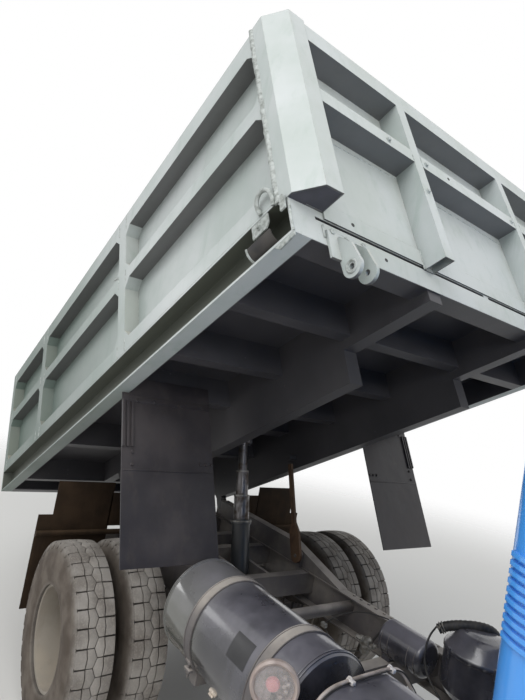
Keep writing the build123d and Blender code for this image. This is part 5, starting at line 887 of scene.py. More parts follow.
# Flaps: bolt rows, the lapped edge of the upper sheet, and the clamping bar and hanger of the rear pair
flapParts = [boltHeads(raised([(0.6368, y, z) for y, z in (
    (-1.060, 0.905), (-1.060, 0.845), (-0.690, 0.862), (-0.655, 0.862), (-0.622, 0.862), (-0.66, 1.170),
    (-0.80, 1.170), (-0.94, 1.170), (-1.030, 1.170))]), bedForward, 0.013, 0.008, 0.0015)]
flapParts += [roundedBox(raised((0.6378, -0.862, z))[0], (0.003, wide, high), 0.0014, bedAxes)
              for z, wide, high in ((0.820, 0.498, 0.007), (1.176, 0.490, 0.034))]
finishPairs("bedFlapFixings", flapParts, "bed", materials["flap_paint"])
rearFlap = {"face": -0.6635, "clampZ": 0.842, "bolts": (-0.72, -0.79, -0.86, -0.93, -1.00)}
clampPlace = fromAxle(rearFlap["face"] - 0.002, -0.860, rearFlap["clampZ"])
clampBolts = [fromAxle(rearFlap["face"] - 0.004, y, rearFlap["clampZ"]) for y in rearFlap["bolts"]]
clampParts = [roundedBox(clampPlace, (0.005, 0.330, 0.040), 0.0015),
              boltHeads(clampBolts, (-1, 0, 0), 0.015, 0.010, 0.002)]
finishPairs("rearFlapClamps", clampParts, "chassis", zincSteel)
flapHanger = roundedBox(fromAxle(rearFlap["face"] + 0.0035, -0.5675, 0.965), (0.006, 0.165, 0.230), 0.002)
finishPairs("rearFlapHangers", [flapHanger], "chassis", materials["flap_rubber"])
print("bed fittings done")

# Fuel tank: rolled end seams, strap edges with their bolts, a plug below and a filler at the back end
tankMiddle = fromAxle(0, -0.692, 0.968)
tank = {"radius": 0.2032, "seams": (0.786, 0.797, 1.578, 1.589), "straps": (1.0125, 1.436),
        "strapRadius": 0.2075, "lugTurn": math.radians(-38), "label": (1.265, 1.375), "labelTurn": (16, 42)}
seams = [torusMesh(tankMiddle + (x, 0, 0), (1, 0, 0), tank["radius"], 0.0032, 96) for x in tank["seams"]]
turn = np.linspace(math.radians(tank["labelTurn"][0]), math.radians(tank["labelTurn"][1]), 16)
patch = np.linspace(*tank["label"], 9)
around = np.stack((-np.cos(turn), np.sin(turn))) * (tank["radius"] + 0.0006)
label = tankMiddle + np.stack(np.broadcast_arrays(patch[:, None], around[0], around[1]),
                              axis=-1).reshape(-1, 3)
finishParts("tankSeams", seams, "chassis", materials["tank_paint"])
finishPiece("tankLabelPatch", label, gridFaces(9, 16), "chassis", plainPart(
    "peeledLabelGlue", "#1E1E21", "#2A2A2C", 0.32, 5, 0.06))
strapParts = []
for x in tank["straps"]:
    strapParts += [torusMesh(tankMiddle + (x + edge, 0, 0), (1, 0, 0), tank["strapRadius"], 0.0032, 96)
                   for edge in (-0.0215, 0.0215)]
    lug = tankMiddle + (x, -0.206 * math.cos(tank["lugTurn"]), 0.206 * math.sin(tank["lugTurn"]))
    strapParts += [
        roundedBox(lug + (0, -0.012, -0.010), (0.044, 0.022, 0.012), 0.003),
        roundedBox(lug + (0, -0.012, 0.022), (0.044, 0.022, 0.012), 0.003),
        tubeMesh([lug + (0, -0.012, z) for z in (-0.040, -0.01, 0.02, 0.036)], 0.005, 10),
        boltHeads([lug + (0, -0.012, -0.016)], (0, 0, -1), 0.016, 0.010, 0.002)]
finishParts("tankStrapEdges", strapParts, "chassis", materials["chassis_paint"])
plug = revolvedMesh(((pole, -0.004), (0.020, -0.004), (0.020, 0.006), (0.013, 0.008), (0.013, 0.016),
                     (pole, 0.017)), tankMiddle + (1.168, -0.148, -0.1425), (0, -0.72, -0.69), 6)
finishPiece("tankDrainPlug", *plug, "chassis", plainPart(
    "brassPlugWorn", "#B9AFA4", "#9C8F7C", 0.4, 2, 0.2, metal=0.7))
fillerWay = np.array((-0.95, 0.0, 0.30)) / np.linalg.norm((-0.95, 0.0, 0.30))
filler = revolvedMesh(((pole, 0), (0.036, 0), (0.036, 0.030), (0.047, 0.032), (0.050, 0.040), (0.048, 0.054),
                       (0.030, 0.060), (pole, 0.061)), tankMiddle + (0.766, 0.070, 0.090), fillerWay, 32)
finishPiece("tankFillerCap", *filler, "chassis", zincSteel)

# Work lamp in place of the solid: spun bowl, bright inside, pale rim, clear domed lens, bulb and stalk
lamp = {"centre": fromAxle(1.585, -0.927, 1.110), "turn": math.radians(-42)}
lampWay = np.array((math.cos(lamp["turn"]), math.sin(lamp["turn"]), 0.0))
bowl = revolvedMesh(((pole, -0.048), (0.031, -0.047), (0.050, -0.040), (0.066, -0.020), (0.073, 0.0),
                     (0.073, 0.006), (0.070, 0.006), (0.063, -0.018), (0.048, -0.034), (0.030, -0.041),
                     (pole, -0.042)), lamp["centre"], lampWay, 48)
stalk = lamp["centre"] + (-0.008, 0.008, 0)
arm = fromAxle(1.6425, -0.8963, 0.850)
lampFrame = joinMeshes([
    bowl, tubeMesh([(stalk[0], stalk[1], z) for z in (0.846, 0.92, 1.0, 1.060, 1.078)], 0.008, 12),
    roundedBox(arm, (0.231, 0.032, 0.012), 0.003),
    boltHeads([arm + (0.075, 0, 0.006), arm + (0.100, 0, 0.006)], (0, 0, 1), 0.014, 0.009, 0.002),
    roundedBox(lamp["centre"] - lampWay * 0.047, (0.020, 0.034, 0.034), 0.004)])
lampPiece = finishPiece("workLampBowl", *lampFrame, "chassis", plainPart(
    "pressedSteelBowlGrey", "#6A6561", "#4D4946", 0.45, 3, 0.15))
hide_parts("work_lamp")
rim = revolvedMesh(((0.062, 0.004), (0.064, 0.012), (0.070, 0.015), (0.0765, 0.010), (0.0775, 0.002),
                    (0.0755, -0.006), (0.0735, -0.002), (0.0735, 0.005)), lamp["centre"], lampWay, 64)
finishPiece("workLampRim", *rim, "chassis", paleRim)
inside = revolvedMesh(((pole, -0.030), (0.020, -0.029), (0.040, -0.024), (0.056, -0.010), (0.063, 0.006),
                       (0.061, 0.006), (0.054, -0.009), (0.038, -0.022), (0.020, -0.027), (pole, -0.028)),
                      lamp["centre"], lampWay, 48)
finishPiece("workLampReflector", *inside, "chassis", plainPart(
    "aluminisedReflectorDull", "#A89A96", "#8A7C78", 0.45, 8, 0.1, metal=0.2, cloudSize=14))
sideways = np.array((-lampWay[1], lampWay[0], 0.0))
bulb = revolvedMesh(((pole, -0.028), (0.010, -0.028), (0.010, -0.018), (0.021, -0.010), (0.023, -0.002),
                     (0.018, 0.007), (pole, 0.010)), lamp["centre"] - sideways * 0.006, lampWay, 24)
finishPiece("workLampBulb", *bulb, "chassis", bulbRed)
squares = [roundedBox(lamp["centre"] + lampWay * -0.004 + sideways * u + np.array((0, 0, v)),
                      (0.012, 0.013, 0.011), 0.002, np.array((lampWay, sideways, (0, 0, 1))))
           for u, v in ((0.028, 0.026), (0.040, 0.010), (0.036, -0.012), (0.022, -0.030), (0.030, 0.002))]
finishParts("workLampReflectorStuds", squares, "chassis", paleRim)
lens = revolvedMesh(((pole, 0.0165), (0.018, 0.0158), (0.036, 0.0136), (0.052, 0.0104), (0.0635, 0.0062),
                     (0.0635, 0.0042), (0.052, 0.0082), (0.036, 0.0112), (0.018, 0.0134), (pole, 0.0140)),
                    lamp["centre"], lampWay, 48)
finishPiece("workLampLens", *lens, "chassis", materials["lamp_glass"], "lamp_glass")
print("tank and lamp done")

# Pale cable over the battery box, held by two clips, with a thin wire beside it
cable = allFromAxle((
    (1.700, -0.890, 0.960), (1.699, -0.889, 1.040), (1.698, -0.872, 1.096), (1.697, -0.820, 1.140),
    (1.697, -0.723, 1.149), (1.698, -0.620, 1.150), (1.698, -0.530, 1.150), (1.708, -0.478, 1.140),
    (1.745, -0.452, 1.085), (1.780, -0.448, 1.010), (1.800, -0.448, 0.940)))
finishPiece("boxCable", *tubeMesh(smoothPath(cable, 90), 0.0062, 12), "chassis", paleSheath)
finishPiece("boxCableWire", *tubeMesh(smoothPath(cable[1:9] + (0.011, 0.002, 0.0015), 60), 0.0022, 8),
            "chassis", hoseRubber)
clips = []
for y in (-0.723, -0.528):
    foot = fromAxle(1.703, y, 1.142)
    clips += [roundedBox(foot + (0, 0, 0.006), (0.030, 0.017, 0.014), 0.004),
              torusMesh(foot + (-0.005, 0, 0.008), (0, 1, 0), 0.0088, 0.003, 20)]
finishParts("boxCableClips", clips, "chassis", whiteNylon)
lid = [fromAxle(x, y, 1.000) for x, y in (
    (1.688, -0.882), (1.900, -0.883), (2.112, -0.882), (2.113, -0.67), (2.112, -0.460), (1.900, -0.459),
    (1.688, -0.460), (1.687, -0.67))]
boxParts = [loopMesh(lid, 0.0045, 8)]
for x in (1.78, 2.02):
    strap = fromAxle(x, -0.8845, 0.998)
    boxParts += [roundedBox(strap, (0.030, 0.007, 0.110), 0.003),
                 torusMesh(strap + (0, -0.006, -0.050), (0, 1, 0), 0.011, 0.0035, 20)]
finishParts("batteryBoxLidEdge", boxParts, "chassis", materials["trim_plastic"])

# Air filter: a raised pressed lid with its seam, clamp and elbow hose, and wires that loop over it
filterTop = fromAxle(1.64, 0.17, 1.120)
pressed = [revolvedMesh(((pole, 0.014), (0.060, 0.014), (0.074, 0.008), (0.082, 0.008), (0.096, 0.002),
                         (0.108, -0.010), (0.150, -0.056), (0.1535, -0.062), (0.1535, -0.074),
                         (0.149, -0.078), (0.100, -0.020), (pole, -0.004)), filterTop, (0, 0, 1), 64)]
for turn in np.radians((20, 95, 170, 245, 320)):
    way = np.array((math.cos(turn), math.sin(turn), 0))
    pressed.append(roundedBox(filterTop + way * 0.153 + (0, 0, -0.075), (0.012, 0.018, 0.046), 0.003,
                              np.array((way, (-way[1], way[0], 0), (0, 0, 1)))))
finishParts("filterLid", pressed, "chassis", materials["tank_paint"])
elbow = smoothPath(allFromAxle((
    (1.486, 0.075, 1.092), (1.508, 0.094, 1.112), (1.550, 0.130, 1.132), (1.600, 0.180, 1.144),
    (1.636, 0.226, 1.140), (1.652, 0.260, 1.112), (1.656, 0.292, 1.050))), 64)
ribbed = 0.0205 + 0.0012 * np.sin(np.arange(64) * 2.1)
finishPiece("filterElbowHose", *tubeMesh(elbow, ribbed, 16), "chassis", hoseRubber)
bands = [torusMesh(elbow[i], elbow[i + 1] - elbow[i - 1], 0.0222, 0.0030, 28) for i in (4, 7, 56)]
bands.append(roundedBox(elbow[5] + (0, -0.026, 0.004), (0.018, 0.012, 0.010), 0.003))
finishParts("filterHoseClamps", bands, "chassis", zincSteel)
wires = (
    # radius, points from the rear axle
    (0.0042, ((1.470, 0.095, 1.098), (1.455, 0.062, 1.050), (1.470, 0.022, 0.985), (1.500, 0.000, 0.935),
              (1.560, -0.020, 0.900), (1.620, -0.040, 0.882))),
    (0.0036, ((0.800, 0.100, 0.780), (0.850, 0.160, 0.850), (0.950, 0.215, 0.905), (1.070, 0.270, 0.918),
              (1.190, 0.330, 0.905), (1.300, 0.362, 0.884))),
    (0.0032, ((0.805, 0.095, 0.776), (0.850, 0.130, 0.708), (0.930, 0.165, 0.690), (1.010, 0.195, 0.730),
              (1.060, 0.205, 0.790))),
    (0.0060, ((1.060, 0.200, 0.806), (1.085, 0.225, 0.868), (1.130, 0.260, 0.888), (1.185, 0.290, 0.868),
              (1.225, 0.300, 0.800))),
    (0.0085, ((1.785, 0.250, 0.905), (1.880, 0.220, 0.930), (2.000, 0.205, 0.905), (2.090, 0.200, 0.880))),
)
wireParts = [tubeMesh(smoothPath(allFromAxle(points), 48), radius, 8) for radius, points in wires]
finishParts("frameWiresAndHoses", wireParts, "chassis", hoseRubber)
valve = [revolvedMesh(((pole, -0.045), (0.020, -0.044), (0.024, -0.034), (0.024, -0.012), (0.034, -0.008),
                       (0.034, 0.008), (0.024, 0.012), (0.022, 0.034), (0.012, 0.042), (pole, 0.043)),
                      fromAxle(1.020, 0.205, 0.765), (0.2, 0.1, 1), 24),
         revolvedMesh(((pole, -0.030), (0.012, -0.030), (0.012, -0.012), (0.017, -0.010), (0.017, 0.010),
                       (0.012, 0.012), (0.012, 0.030), (pole, 0.030)), fromAxle(0.985, 0.205, 0.780),
                      (1, 0.2, 0.1), 6),
         revolvedMesh(((pole, -0.026), (0.010, -0.026), (0.010, -0.008), (0.015, -0.006), (0.015, 0.008),
                       (0.010, 0.010), (0.010, 0.030), (pole, 0.030)), fromAxle(1.060, 0.205, 0.775),
                      (1, 0.1, 0.5), 6),
         roundedBox(fromAxle(0.805, 0.098, 0.778), (0.036, 0.024, 0.024), 0.005)]
finishParts("frameBrakeValve", valve, "chassis", zincSteel)
print("chassis wiring done")

# Frame: rivets along the top flanges and at each cross-member's ends
rivets = []
flangeX = np.concatenate((np.arange(0.72, 4.05, 0.115), np.arange(0.775, 1.3, 0.115)))
for y in (-0.412, 0.412):
    rivets.append(boltHeads([fromAxle(x, y, 0.865) for x in flangeX], (0, 0, 1), 0.019, 0.006, sides=12))
for x in (-0.865, -0.420, -0.165, 0.330, 0.690, 1.280, 3.760):
    for side in (-1, 1):
        rivets.append(boltHeads([fromAxle(x + dx, side * 0.430, z) for dx in (-0.018, 0.018)
                                 for z in (0.752, 0.795, 0.838)], (0, side, 0), 0.019, 0.006, sides=12))
finishParts("frameRivets", rivets, "chassis", materials["chassis_paint"])
print("frame rivets done")

# Wheels: nuts and stud ends on the hub flat, bolts round the cap, a split ring and a valve on the rim
wheelFit = {"nutCircle": 0.122, "capCircle": 0.058, "ringRadius": 0.2705, "ringThick": 0.0062,
            "valve": 0.0045}
nutSteel = plainPart("zincNutSteelRusty", "#6A655E", "#5A4A3C", 0.5, 2, 0.25, metal=0.5, cloudSize=14)
for body, axleX, side, face, hubEnd, rimEdge in (
        ("front_wheel_left", frontAxleX, 1, 0.9925, 1.0975, 0.942),
        ("front_wheel_right", frontAxleX, -1, 0.9925, 1.0975, 0.942),
        ("rear_wheels_left", rearAxleX, 1, 0.897, 0.990, 1.120),
        ("rear_wheels_right", rearAxleX, -1, 0.897, 0.990, 1.120)):
    axle, out = np.array((axleX, 0.0, axleZ)), np.array((0.0, side, 0.0))
    nuts = axle + wheelRing(8, np.pi / 8) * wheelFit["nutCircle"]
    fixed = [boltHeads(nuts + out * face, out, 0.030, 0.024, 0.004),
             boltHeads(nuts + out * (face + 0.018), out, 0.017, 0.018, sides=12),
             boltHeads(axle + wheelRing(6) * wheelFit["capCircle"] + out * hubEnd, out, 0.013, 0.006, 0.0015),
             torusMesh(axle + out * (hubEnd - 0.004), (0, 1, 0), 0.0735, 0.0035, 48)]
    finishParts("nuts_" + body, fixed, body, nutSteel)
    valve = [axle + (0, side * y, r) for y, r in ((rimEdge - 0.080, 0.252), (rimEdge - 0.070, 0.232),
                                                  (rimEdge - 0.050, 0.224), (rimEdge - 0.020, 0.222))]
    splitRing = torusMesh(axle + out * (rimEdge - 0.005), (0, 1, 0), wheelFit["ringRadius"],
                          wheelFit["ringThick"], 96)
    rimFit = [splitRing, tubeMesh(smoothPath(valve, 16), wheelFit["valve"], 8)]
    finishParts("ring_" + body, rimFit, body, materials["rim_paint"])
print("wheel fittings done")

# Springs and axles: U-bolts with plates and nuts, rebound clips, eye bolts, cover bolts and brake chambers
springFit = {"leg": 0.045, "boltRadius": 0.0075, "clipAt": 0.32, "clip": (0.026, 0.084, 0.042)}
springParts = []
for middleX, y, top, eyeX, eyeZ, low, apart in ((0.0, 0.505, 0.654, 0.620, 0.733, 0.415, 0.067),
                                                (3.200, 0.389, 0.538, 0.600, 0.612, 0.369, 0.050)):
    leg = springFit["leg"]
    for dx in (-apart, apart):
        bend = [(middleX + dx, y + across, z) for across, z in (
            (-leg, low - 0.026), (-leg, low + 0.05), (-leg, top - 0.012), (-leg * 0.96, top + 0.010),
            (0, top + 0.015), (leg * 0.96, top + 0.010), (leg, top - 0.012), (leg, low + 0.05),
            (leg, low - 0.026))]
        springParts.append(curvedTube(bend, 40, springFit["boltRadius"]))
    springParts.append(roundedBox(fromAxle(middleX, y, low), (2 * apart + 0.036, 0.128, 0.014), 0.003))
    springParts.append(boltHeads([fromAxle(middleX + dx, y + dy, low - 0.007) for dx in (-apart, apart)
                                  for dy in (-leg, leg)], (0, 0, -1), 0.024, 0.016, 0.003))
    for way in (-1, 1):
        clipZ = top + (eyeZ - top) * (springFit["clipAt"] / eyeX) ** 2 - 0.017
        clipPlace = fromAxle(middleX + way * springFit["clipAt"], y, clipZ)
        springParts.append(roundedBox(clipPlace, springFit["clip"], 0.003))
        springParts += [boltHeads([fromAxle(middleX + way * eyeX, y + out * 0.043, eyeZ)], (0, out, 0), 0.026,
                                  0.014, 0.003) for out in (-1, 1)]
finishPairs("springFixings", springParts, "chassis", materials["spring_steel"])
axleParts = [boltHeads(fromAxle(0, -0.060, axleZ) + wheelRing(12) * 0.136, (0, -1, 0), 0.017, 0.010, 0.002),
             revolvedMesh(((pole, 0), (0.050, 0), (0.062, 0.012), (0.066, 0.030), (0.066, 0.046),
                           (0.075, 0.048), (0.075, 0.058), (0.066, 0.060), (0.066, 0.076), (0.052, 0.098),
                           (pole, 0.102)), fromAxle(-0.170, -0.300, 0.520), (-1, 0, 0), 36),
             tubeMesh([fromAxle(x, -0.300, 0.520) for x in (-0.19, -0.14, -0.10, -0.045)], 0.008, 10),
             roundedBox(fromAxle(-0.115, -0.300, 0.463), (0.130, 0.060, 0.012), 0.003),
             curvedTube(((-0.240, -0.300, 0.584), (-0.235, -0.300, 0.640), (-0.180, -0.310, 0.700),
                         (-0.090, -0.352, 0.735)), 30, 0.006)]
finishPairs("rearAxleFittings", axleParts, "chassis", materials["chassis_paint"])

# Cylinder: a wiper ring on top of the barrel and of two stages, short of the collar below when closed
cylinderFoot, cylinderEye = fromAxle(0.115, 0, 0.730), raised((0.100, 0, 1.205))[0]
lean = (cylinderEye - cylinderFoot) / np.linalg.norm(cylinderEye - cylinderFoot)
for body, reach, radius in (("cylinder_barrel", 0.380, 0.0680), ("cylinder_lower", 0.544, 0.0517),
                            ("cylinder_middle", 0.703, 0.0417)):
    gland = revolvedMesh(((radius - 0.001, -0.012), (radius + 0.0025, -0.011), (radius + 0.0025, -0.002),
                          (radius - 0.001, -0.0005)), cylinderFoot + lean * reach, lean, 44)
    finishPiece("gland_" + body, *gland, body, zincSteel)

# Exhaust seams and hanger bands, reservoir bands and drain
pipeParts = [torusMesh(fromAxle(x, 0.62, 0.64), (1, 0, 0), radius, thick, 48) for x, radius, thick in (
    (1.918, 0.0855, 0.0032), (2.442, 0.0855, 0.0032), (2.018, 0.0868, 0.0028), (2.042, 0.0868, 0.0028),
    (2.318, 0.0868, 0.0028), (2.342, 0.0868, 0.0028))]
pipeParts.append(torusMesh(fromAxle(1.895, 0.62, 0.620), (1, 0, 0), 0.0280, 0.0042, 24))
finishParts("exhaustBands", pipeParts, "chassis", materials["exhaust_steel"])
airParts = [torusMesh(fromAxle(x, 0.07, 0.941), (1, 0, 0), 0.0802, 0.0022, 48)
            for x in (1.262, 1.300, 1.405, 1.443)]
airParts.append(boltHeads([fromAxle(1.352, 0.07, 0.8615)], (0, 0, -1), 0.020, 0.014, 0.003))
finishParts("reservoirBands", airParts, "chassis", materials["chassis_paint"])
print("axles and cylinder done")

# Rear: ribbed lenses on the lamp boxes, a blank plate, bolts and beads on the tailgate
lampRow = {"face": -1.018, "z": 0.690, "high": 0.094, "pitch": 0.009}
for name, low, high, material in (("rearLensOrange", 0.926, 1.000, orangeAcrylic),
                                  ("rearLensRed", 0.842, 0.922, redAcrylic),
                                  ("rearLensClear", 0.760, 0.838, paleRim)):
    lensParts = [roundedBox(fromAxle(lampRow["face"], -(low + high) / 2, lampRow["z"]),
                            (0.012, high - low, lampRow["high"]), 0.003)]
    for y in np.arange(low + 0.007, high - 0.004, lampRow["pitch"]):
        lensParts.append(tubeMesh([fromAxle(lampRow["face"] - 0.0055, -y, lampRow["z"] + dz) for dz in (
            -0.040, -0.013, 0.013, 0.040)], 0.0030, 8))
    finishPairs(name, lensParts, "chassis", material)
blankPlate = plainPart("pressedPlateBlank", "#D4D2CB", "#B9B5AB", 0.4, 6, 0.05)
plates = [
    plateMesh(rectangle(0.42, 0.10), 0.003, fromAxle(-0.9655, 0.48, 0.690), (0, -1, 0), (0, 0, 1)),
    plateMesh(rectangle(0.52, 0.11), 0.003, fromAxle(4.2903, 0, 0.572), (0, 1, 0), (0, 0, 1))]
finishParts("blankPlates", plates, "chassis", blankPlate)
plateBolts = [
    boltHeads([fromAxle(-0.9685, y, 0.690) for y in (0.300, 0.660)], (-1, 0, 0), 0.013, 0.006, 0.0015),
    boltHeads([fromAxle(4.2933, y, 0.572) for y in (-0.22, 0.22)], (1, 0, 0), 0.013, 0.006, 0.0015),
    boltHeads([fromAxle(4.2903, y, z) for y in (-0.85, -0.395, 0.395, 0.85) for z in (0.525, 0.620)],
              (1, 0, 0), 0.022, 0.010, 0.003)]
finishParts("plateAndBumperBolts", plateBolts, "chassis", zincSteel)
gateParts = [boltHeads(raised([(-1.7455, y, z) for y in (-1.030, -0.970) for z in (2.165, 2.215)]),
                       -bedForward, 0.017, 0.010, 0.002)]
gateParts += [bedBead((-1.7450, y - 0.012, z), (-1.7450, y + 0.012, z), 0.008, -bedForward)
              for y in (-0.395, -0.315) for z in (1.470, 1.772, 1.856, 2.158)]
finishPairs("tailgateBoltsAndBeads", gateParts, "tailgate", weldPaint)
print("rear fittings done")


# Cab: rubber gaskets, wipers, handles, drip rails, lamps, mirror glass and step treads
def loopPath(corners, radius, steps=7):
    # a closed outline with round corners, each the curve (1 - t)^2 a + 2 t (1 - t) corner + t^2 b
    corners = np.asarray(corners, float)
    before, after = np.roll(corners, 1, axis=0) - corners, np.roll(corners, -1, axis=0) - corners
    a = corners + before / np.linalg.norm(before, axis=1, keepdims=True) * radius
    b = corners + after / np.linalg.norm(after, axis=1, keepdims=True) * radius
    t = np.linspace(0, 1, steps)[None, :, None]
    return ((1 - t) ** 2 * a[:, None] + 2 * t * (1 - t) * corners[:, None]
            + t ** 2 * b[:, None]).reshape(-1, 3)


screenUp = np.array((-0.330, 0, 0.860)) / math.hypot(0.330, 0.860)
screenOut = np.array((0.860, 0, 0.330)) / math.hypot(0.330, 0.860)
screenMiddle = fromAxle(4.065, 0, 2.130)


def onScreen(y, v, out):
    return screenMiddle + (0, y, 0) + v * screenUp + out * screenOut


gaskets = [loopMesh(loopPath([onScreen(-0.470 + y, v, 0.003) for y, v in rectangle(0.88, 0.62)], 0.075),
                    0.0120)]
rearPane = loopMesh(loopPath([fromAxle(2.258, y, z) for y, z in (
    (-0.59, 1.85), (0.59, 1.85), (0.59, 2.31), (-0.59, 2.31))], 0.075), 0.0110)
finishParts("cabWindowGaskets", bothSides(gaskets) + [rearPane], "chassis", hoseRubber)
chromedZinc = plainPart("chromedDieCasting", "#C8CACC", "#A9ACAF", 0.18, 8, 0.03, metal=1.0)
doorPane = ((3.080, 1.760), (3.901, 1.760), (3.726, 2.360), (3.080, 2.360))
for body, side in (("door_left", 1), ("door_right", -1)):
    loop = loopMesh(loopPath([fromAxle(x, side * 1.1010, z) for x, z in doorPane], 0.055), 0.0100)
    finishPiece("gasket_" + body, *loop, body, hoseRubber)
    bail = [(x, side * y, 1.555) for x, y in (
        (3.090, 1.100), (3.092, 1.126), (3.125, 1.137), (3.200, 1.137), (3.232, 1.126), (3.234, 1.100))]
    handle = [curvedTube(bail, 30, 0.0075, 12),
              roundedBox(fromAxle(3.162, side * 1.101, 1.555), (0.175, 0.008, 0.042), 0.003),
              revolvedMesh(((pole, 0.004), (0.008, 0.004), (0.012, 0.003), (0.013, -0.002)),
                           fromAxle(3.162, side * 1.101, 1.505), (0, side, 0), 24, closed=False)]
    finishParts("handle_" + body, handle, body, chromedZinc)
dripRail = curvedTube(((2.400, -1.102, 2.450), (2.440, -1.103, 2.462), (3.100, -1.103, 2.464),
                       (3.760, -1.103, 2.462), (3.830, -1.103, 2.420), (3.905, -1.103, 2.200),
                       (4.030, -1.103, 1.780)), 60, 0.0065)
finishPairs("cabDripRails", [dripRail], "chassis", materials["cab_paint"])
# each wiper is an arm, a blade and the bow that carries the blade, as (across, up the screen, off the screen)
wiperArm = ((0.120, -0.375, 0.010), (0.128, -0.372, 0.030), (0.280, -0.322, 0.036), (0.420, -0.285, 0.026))
wiperBlade = ((0.200, -0.292, 0.0185), (0.340, -0.286, 0.0185), (0.480, -0.281, 0.0185),
              (0.640, -0.276, 0.0185))
wiperBow = ((0.230, -0.291, 0.022), (0.330, -0.286, 0.032), (0.420, -0.283, 0.034), (0.520, -0.279, 0.032),
            (0.610, -0.277, 0.022))
wiper = [tubeMesh(smoothPath([onScreen(-y, v, out) for y, v, out in wiperArm], 24), 0.0042, 8),
         tubeMesh([onScreen(-y, v, out) for y, v, out in wiperBlade], 0.0050, 8),
         tubeMesh(smoothPath([onScreen(-y, v, out) for y, v, out in wiperBow], 24), 0.0028, 8),
         boltHeads([onScreen(-0.120, -0.375, 0.0)], screenOut, 0.024, 0.016, 0.004)]
finishPairs("cabWipers", wiper, "chassis", materials["trim_plastic"])

headlamp = {"place": fromAxle(4.2310, -0.790, 0.960), "signal": fromAxle(4.2310, -0.790, 1.130),
            "fluting": 0.0085}
rimRing = revolvedMesh(((0.097, 0.0), (0.098, 0.012), (0.096, 0.030), (0.090, 0.041), (0.083, 0.043),
                        (0.081, 0.038), (0.084, 0.028), (0.090, 0.010)), headlamp["place"], (1, 0, 0), 64)
signalRing = revolvedMesh(((0.040, 0.0), (0.040, 0.008), (0.035, 0.010), (0.034, 0.004)), headlamp["signal"],
                          (1, 0, 0), 40)
lampRings = finishPairs("headlampRings", [rimRing, signalRing], "chassis", reflectorChrome)
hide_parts("headlamps")
bowl = revolvedMesh(((pole, 0.004), (0.030, 0.006), (0.060, 0.016), (0.080, 0.032), (0.083, 0.036),
                     (0.085, 0.034), (0.088, 0.002), (pole, 0.0005)), headlamp["place"], (1, 0, 0), 56)
finishPairs("headlampReflectors", [bowl], "chassis", plainPart(
    "aluminisedReflectorBright", "#D2D4D6", "#BFC2C5", 0.15, 10, 0.03, metal=0.9))
points, faces = revolvedMesh(((pole, 0.0448), (0.030, 0.0440), (0.055, 0.0420), (0.072, 0.0395),
                              (0.0825, 0.0365), (0.0825, 0.0340), (0.072, 0.0370), (0.055, 0.0395),
                              (0.030, 0.0415), (pole, 0.0423)), headlamp["place"], (1, 0, 0), 96)
points[:, 0] += 0.0007 * np.sin((points[:, 1] - headlamp["place"][1]) / headlamp["fluting"] * 2 * np.pi)
finishPairs("headlampLenses", [(points, faces)], "chassis", materials["lamp_glass"], "lamp_glass")
bulbShape = revolvedMesh(((pole, 0.005), (0.012, 0.005), (0.012, 0.014), (0.015, 0.020), (0.012, 0.028),
                          (pole, 0.031)), headlamp["place"], (1, 0, 0), 24)
finishPairs("headlampBulbs", [bulbShape], "chassis", paleRim)
# the signal's lens is a dome, height falling with the square of the radius, with fine rings in it
dome = np.linspace(pole, 0.0345, 12)
domeHigh = 0.024 - 0.016 * (dome / 0.0345) ** 2 + 0.0006 * np.cos(dome * 1600)
signal = revolvedMesh(np.vstack((np.column_stack((dome, domeHigh)), ((0.0345, 0.002), (pole, 0.001)))),
                      headlamp["signal"], (1, 0, 0), 40)
finishPairs("signalLenses", [signal], "chassis", orangeAcrylic)
mirrorFace = [plateMesh(((-0.060, -0.118), (0.060, -0.118), (0.066, -0.108), (0.066, 0.108), (0.060, 0.118),
                         (-0.060, 0.118), (-0.066, 0.108), (-0.066, -0.108)), 0.002,
                        fromAxle(4.0402, -1.250, 2.060), (0, -1, 0), (0, 0, 1), 0.0008)]
finishPairs("mirrorGlass", mirrorFace, "chassis", plainPart(
    "silveredMirrorGlass", "#C5CACC", "#B8BEC0", 0.03, 20, 0.0, metal=1.0))
treads = [roundedBox(fromAxle(3.895, y, 0.5705), (0.185, 0.007, 0.005), 0.0015)
          for y in (-1.030, -1.052, -1.074)]
finishPairs("cabStepTreads", treads, "chassis", zincSteel)
print("cab outside done")

# Cab inside: dials with rings, ticks and hands, switches, pedals, gear lever, sun visors and floor mat
dash = {"face": (3.991, 1.590), "out": np.array((-0.9806, 0, 0.1961)), "up": np.array((0.1961, 0, 0.9806)),
        "dials": ((0.545, 1.0), (0.655, 1.0), (0.430, 0.62), (0.770, 0.62), (0.345, 0.62)), "ticks": 11}


def dialBar(place, size, turn, reach, rise, bar):
    # a thin bar on a dial that points from its middle at the given turn
    way = math.cos(turn) * np.array((0.0, 1.0, 0.0)) + math.sin(turn) * dash["up"]
    return boxMesh(place + (way * reach + dash["out"] * rise) * size, bar,
                   np.array((way, np.cross(dash["out"], way), dash["out"])))


rings, dialFaces, marks, hands = [], [], [], []
for number, (y, size) in enumerate(dash["dials"]):
    place = fromAxle(dash["face"][0], y, dash["face"][1])
    rings.append(revolvedMesh(np.array(((0.040, 0), (0.047, 0), (0.047, 0.006), (0.044, 0.009),
                                        (0.040, 0.007))) * size, place, dash["out"], 40))
    dialFaces.append(revolvedMesh(np.array(((pole, 0.001), (0.041, 0.001), (0.041, 0.0035), (pole, 0.0035)))
                                  * size, place, dash["out"], 40))
    marks += [dialBar(place, size, turn, 0.033, 0.0037, (0.007 * size, 0.0014, 0.0006))
              for turn in np.radians(np.linspace(-40, 220, dash["ticks"]))]
    hands.append(dialBar(place, size, math.radians(205 - number * 23), 0.012, 0.0050,
                         (0.036 * size, 0.0016, 0.0008)))
finishParts("dialRings", rings, "chassis", reflectorChrome)
finishParts("dialFaces", dialFaces, "chassis", materials["trim_plastic"])
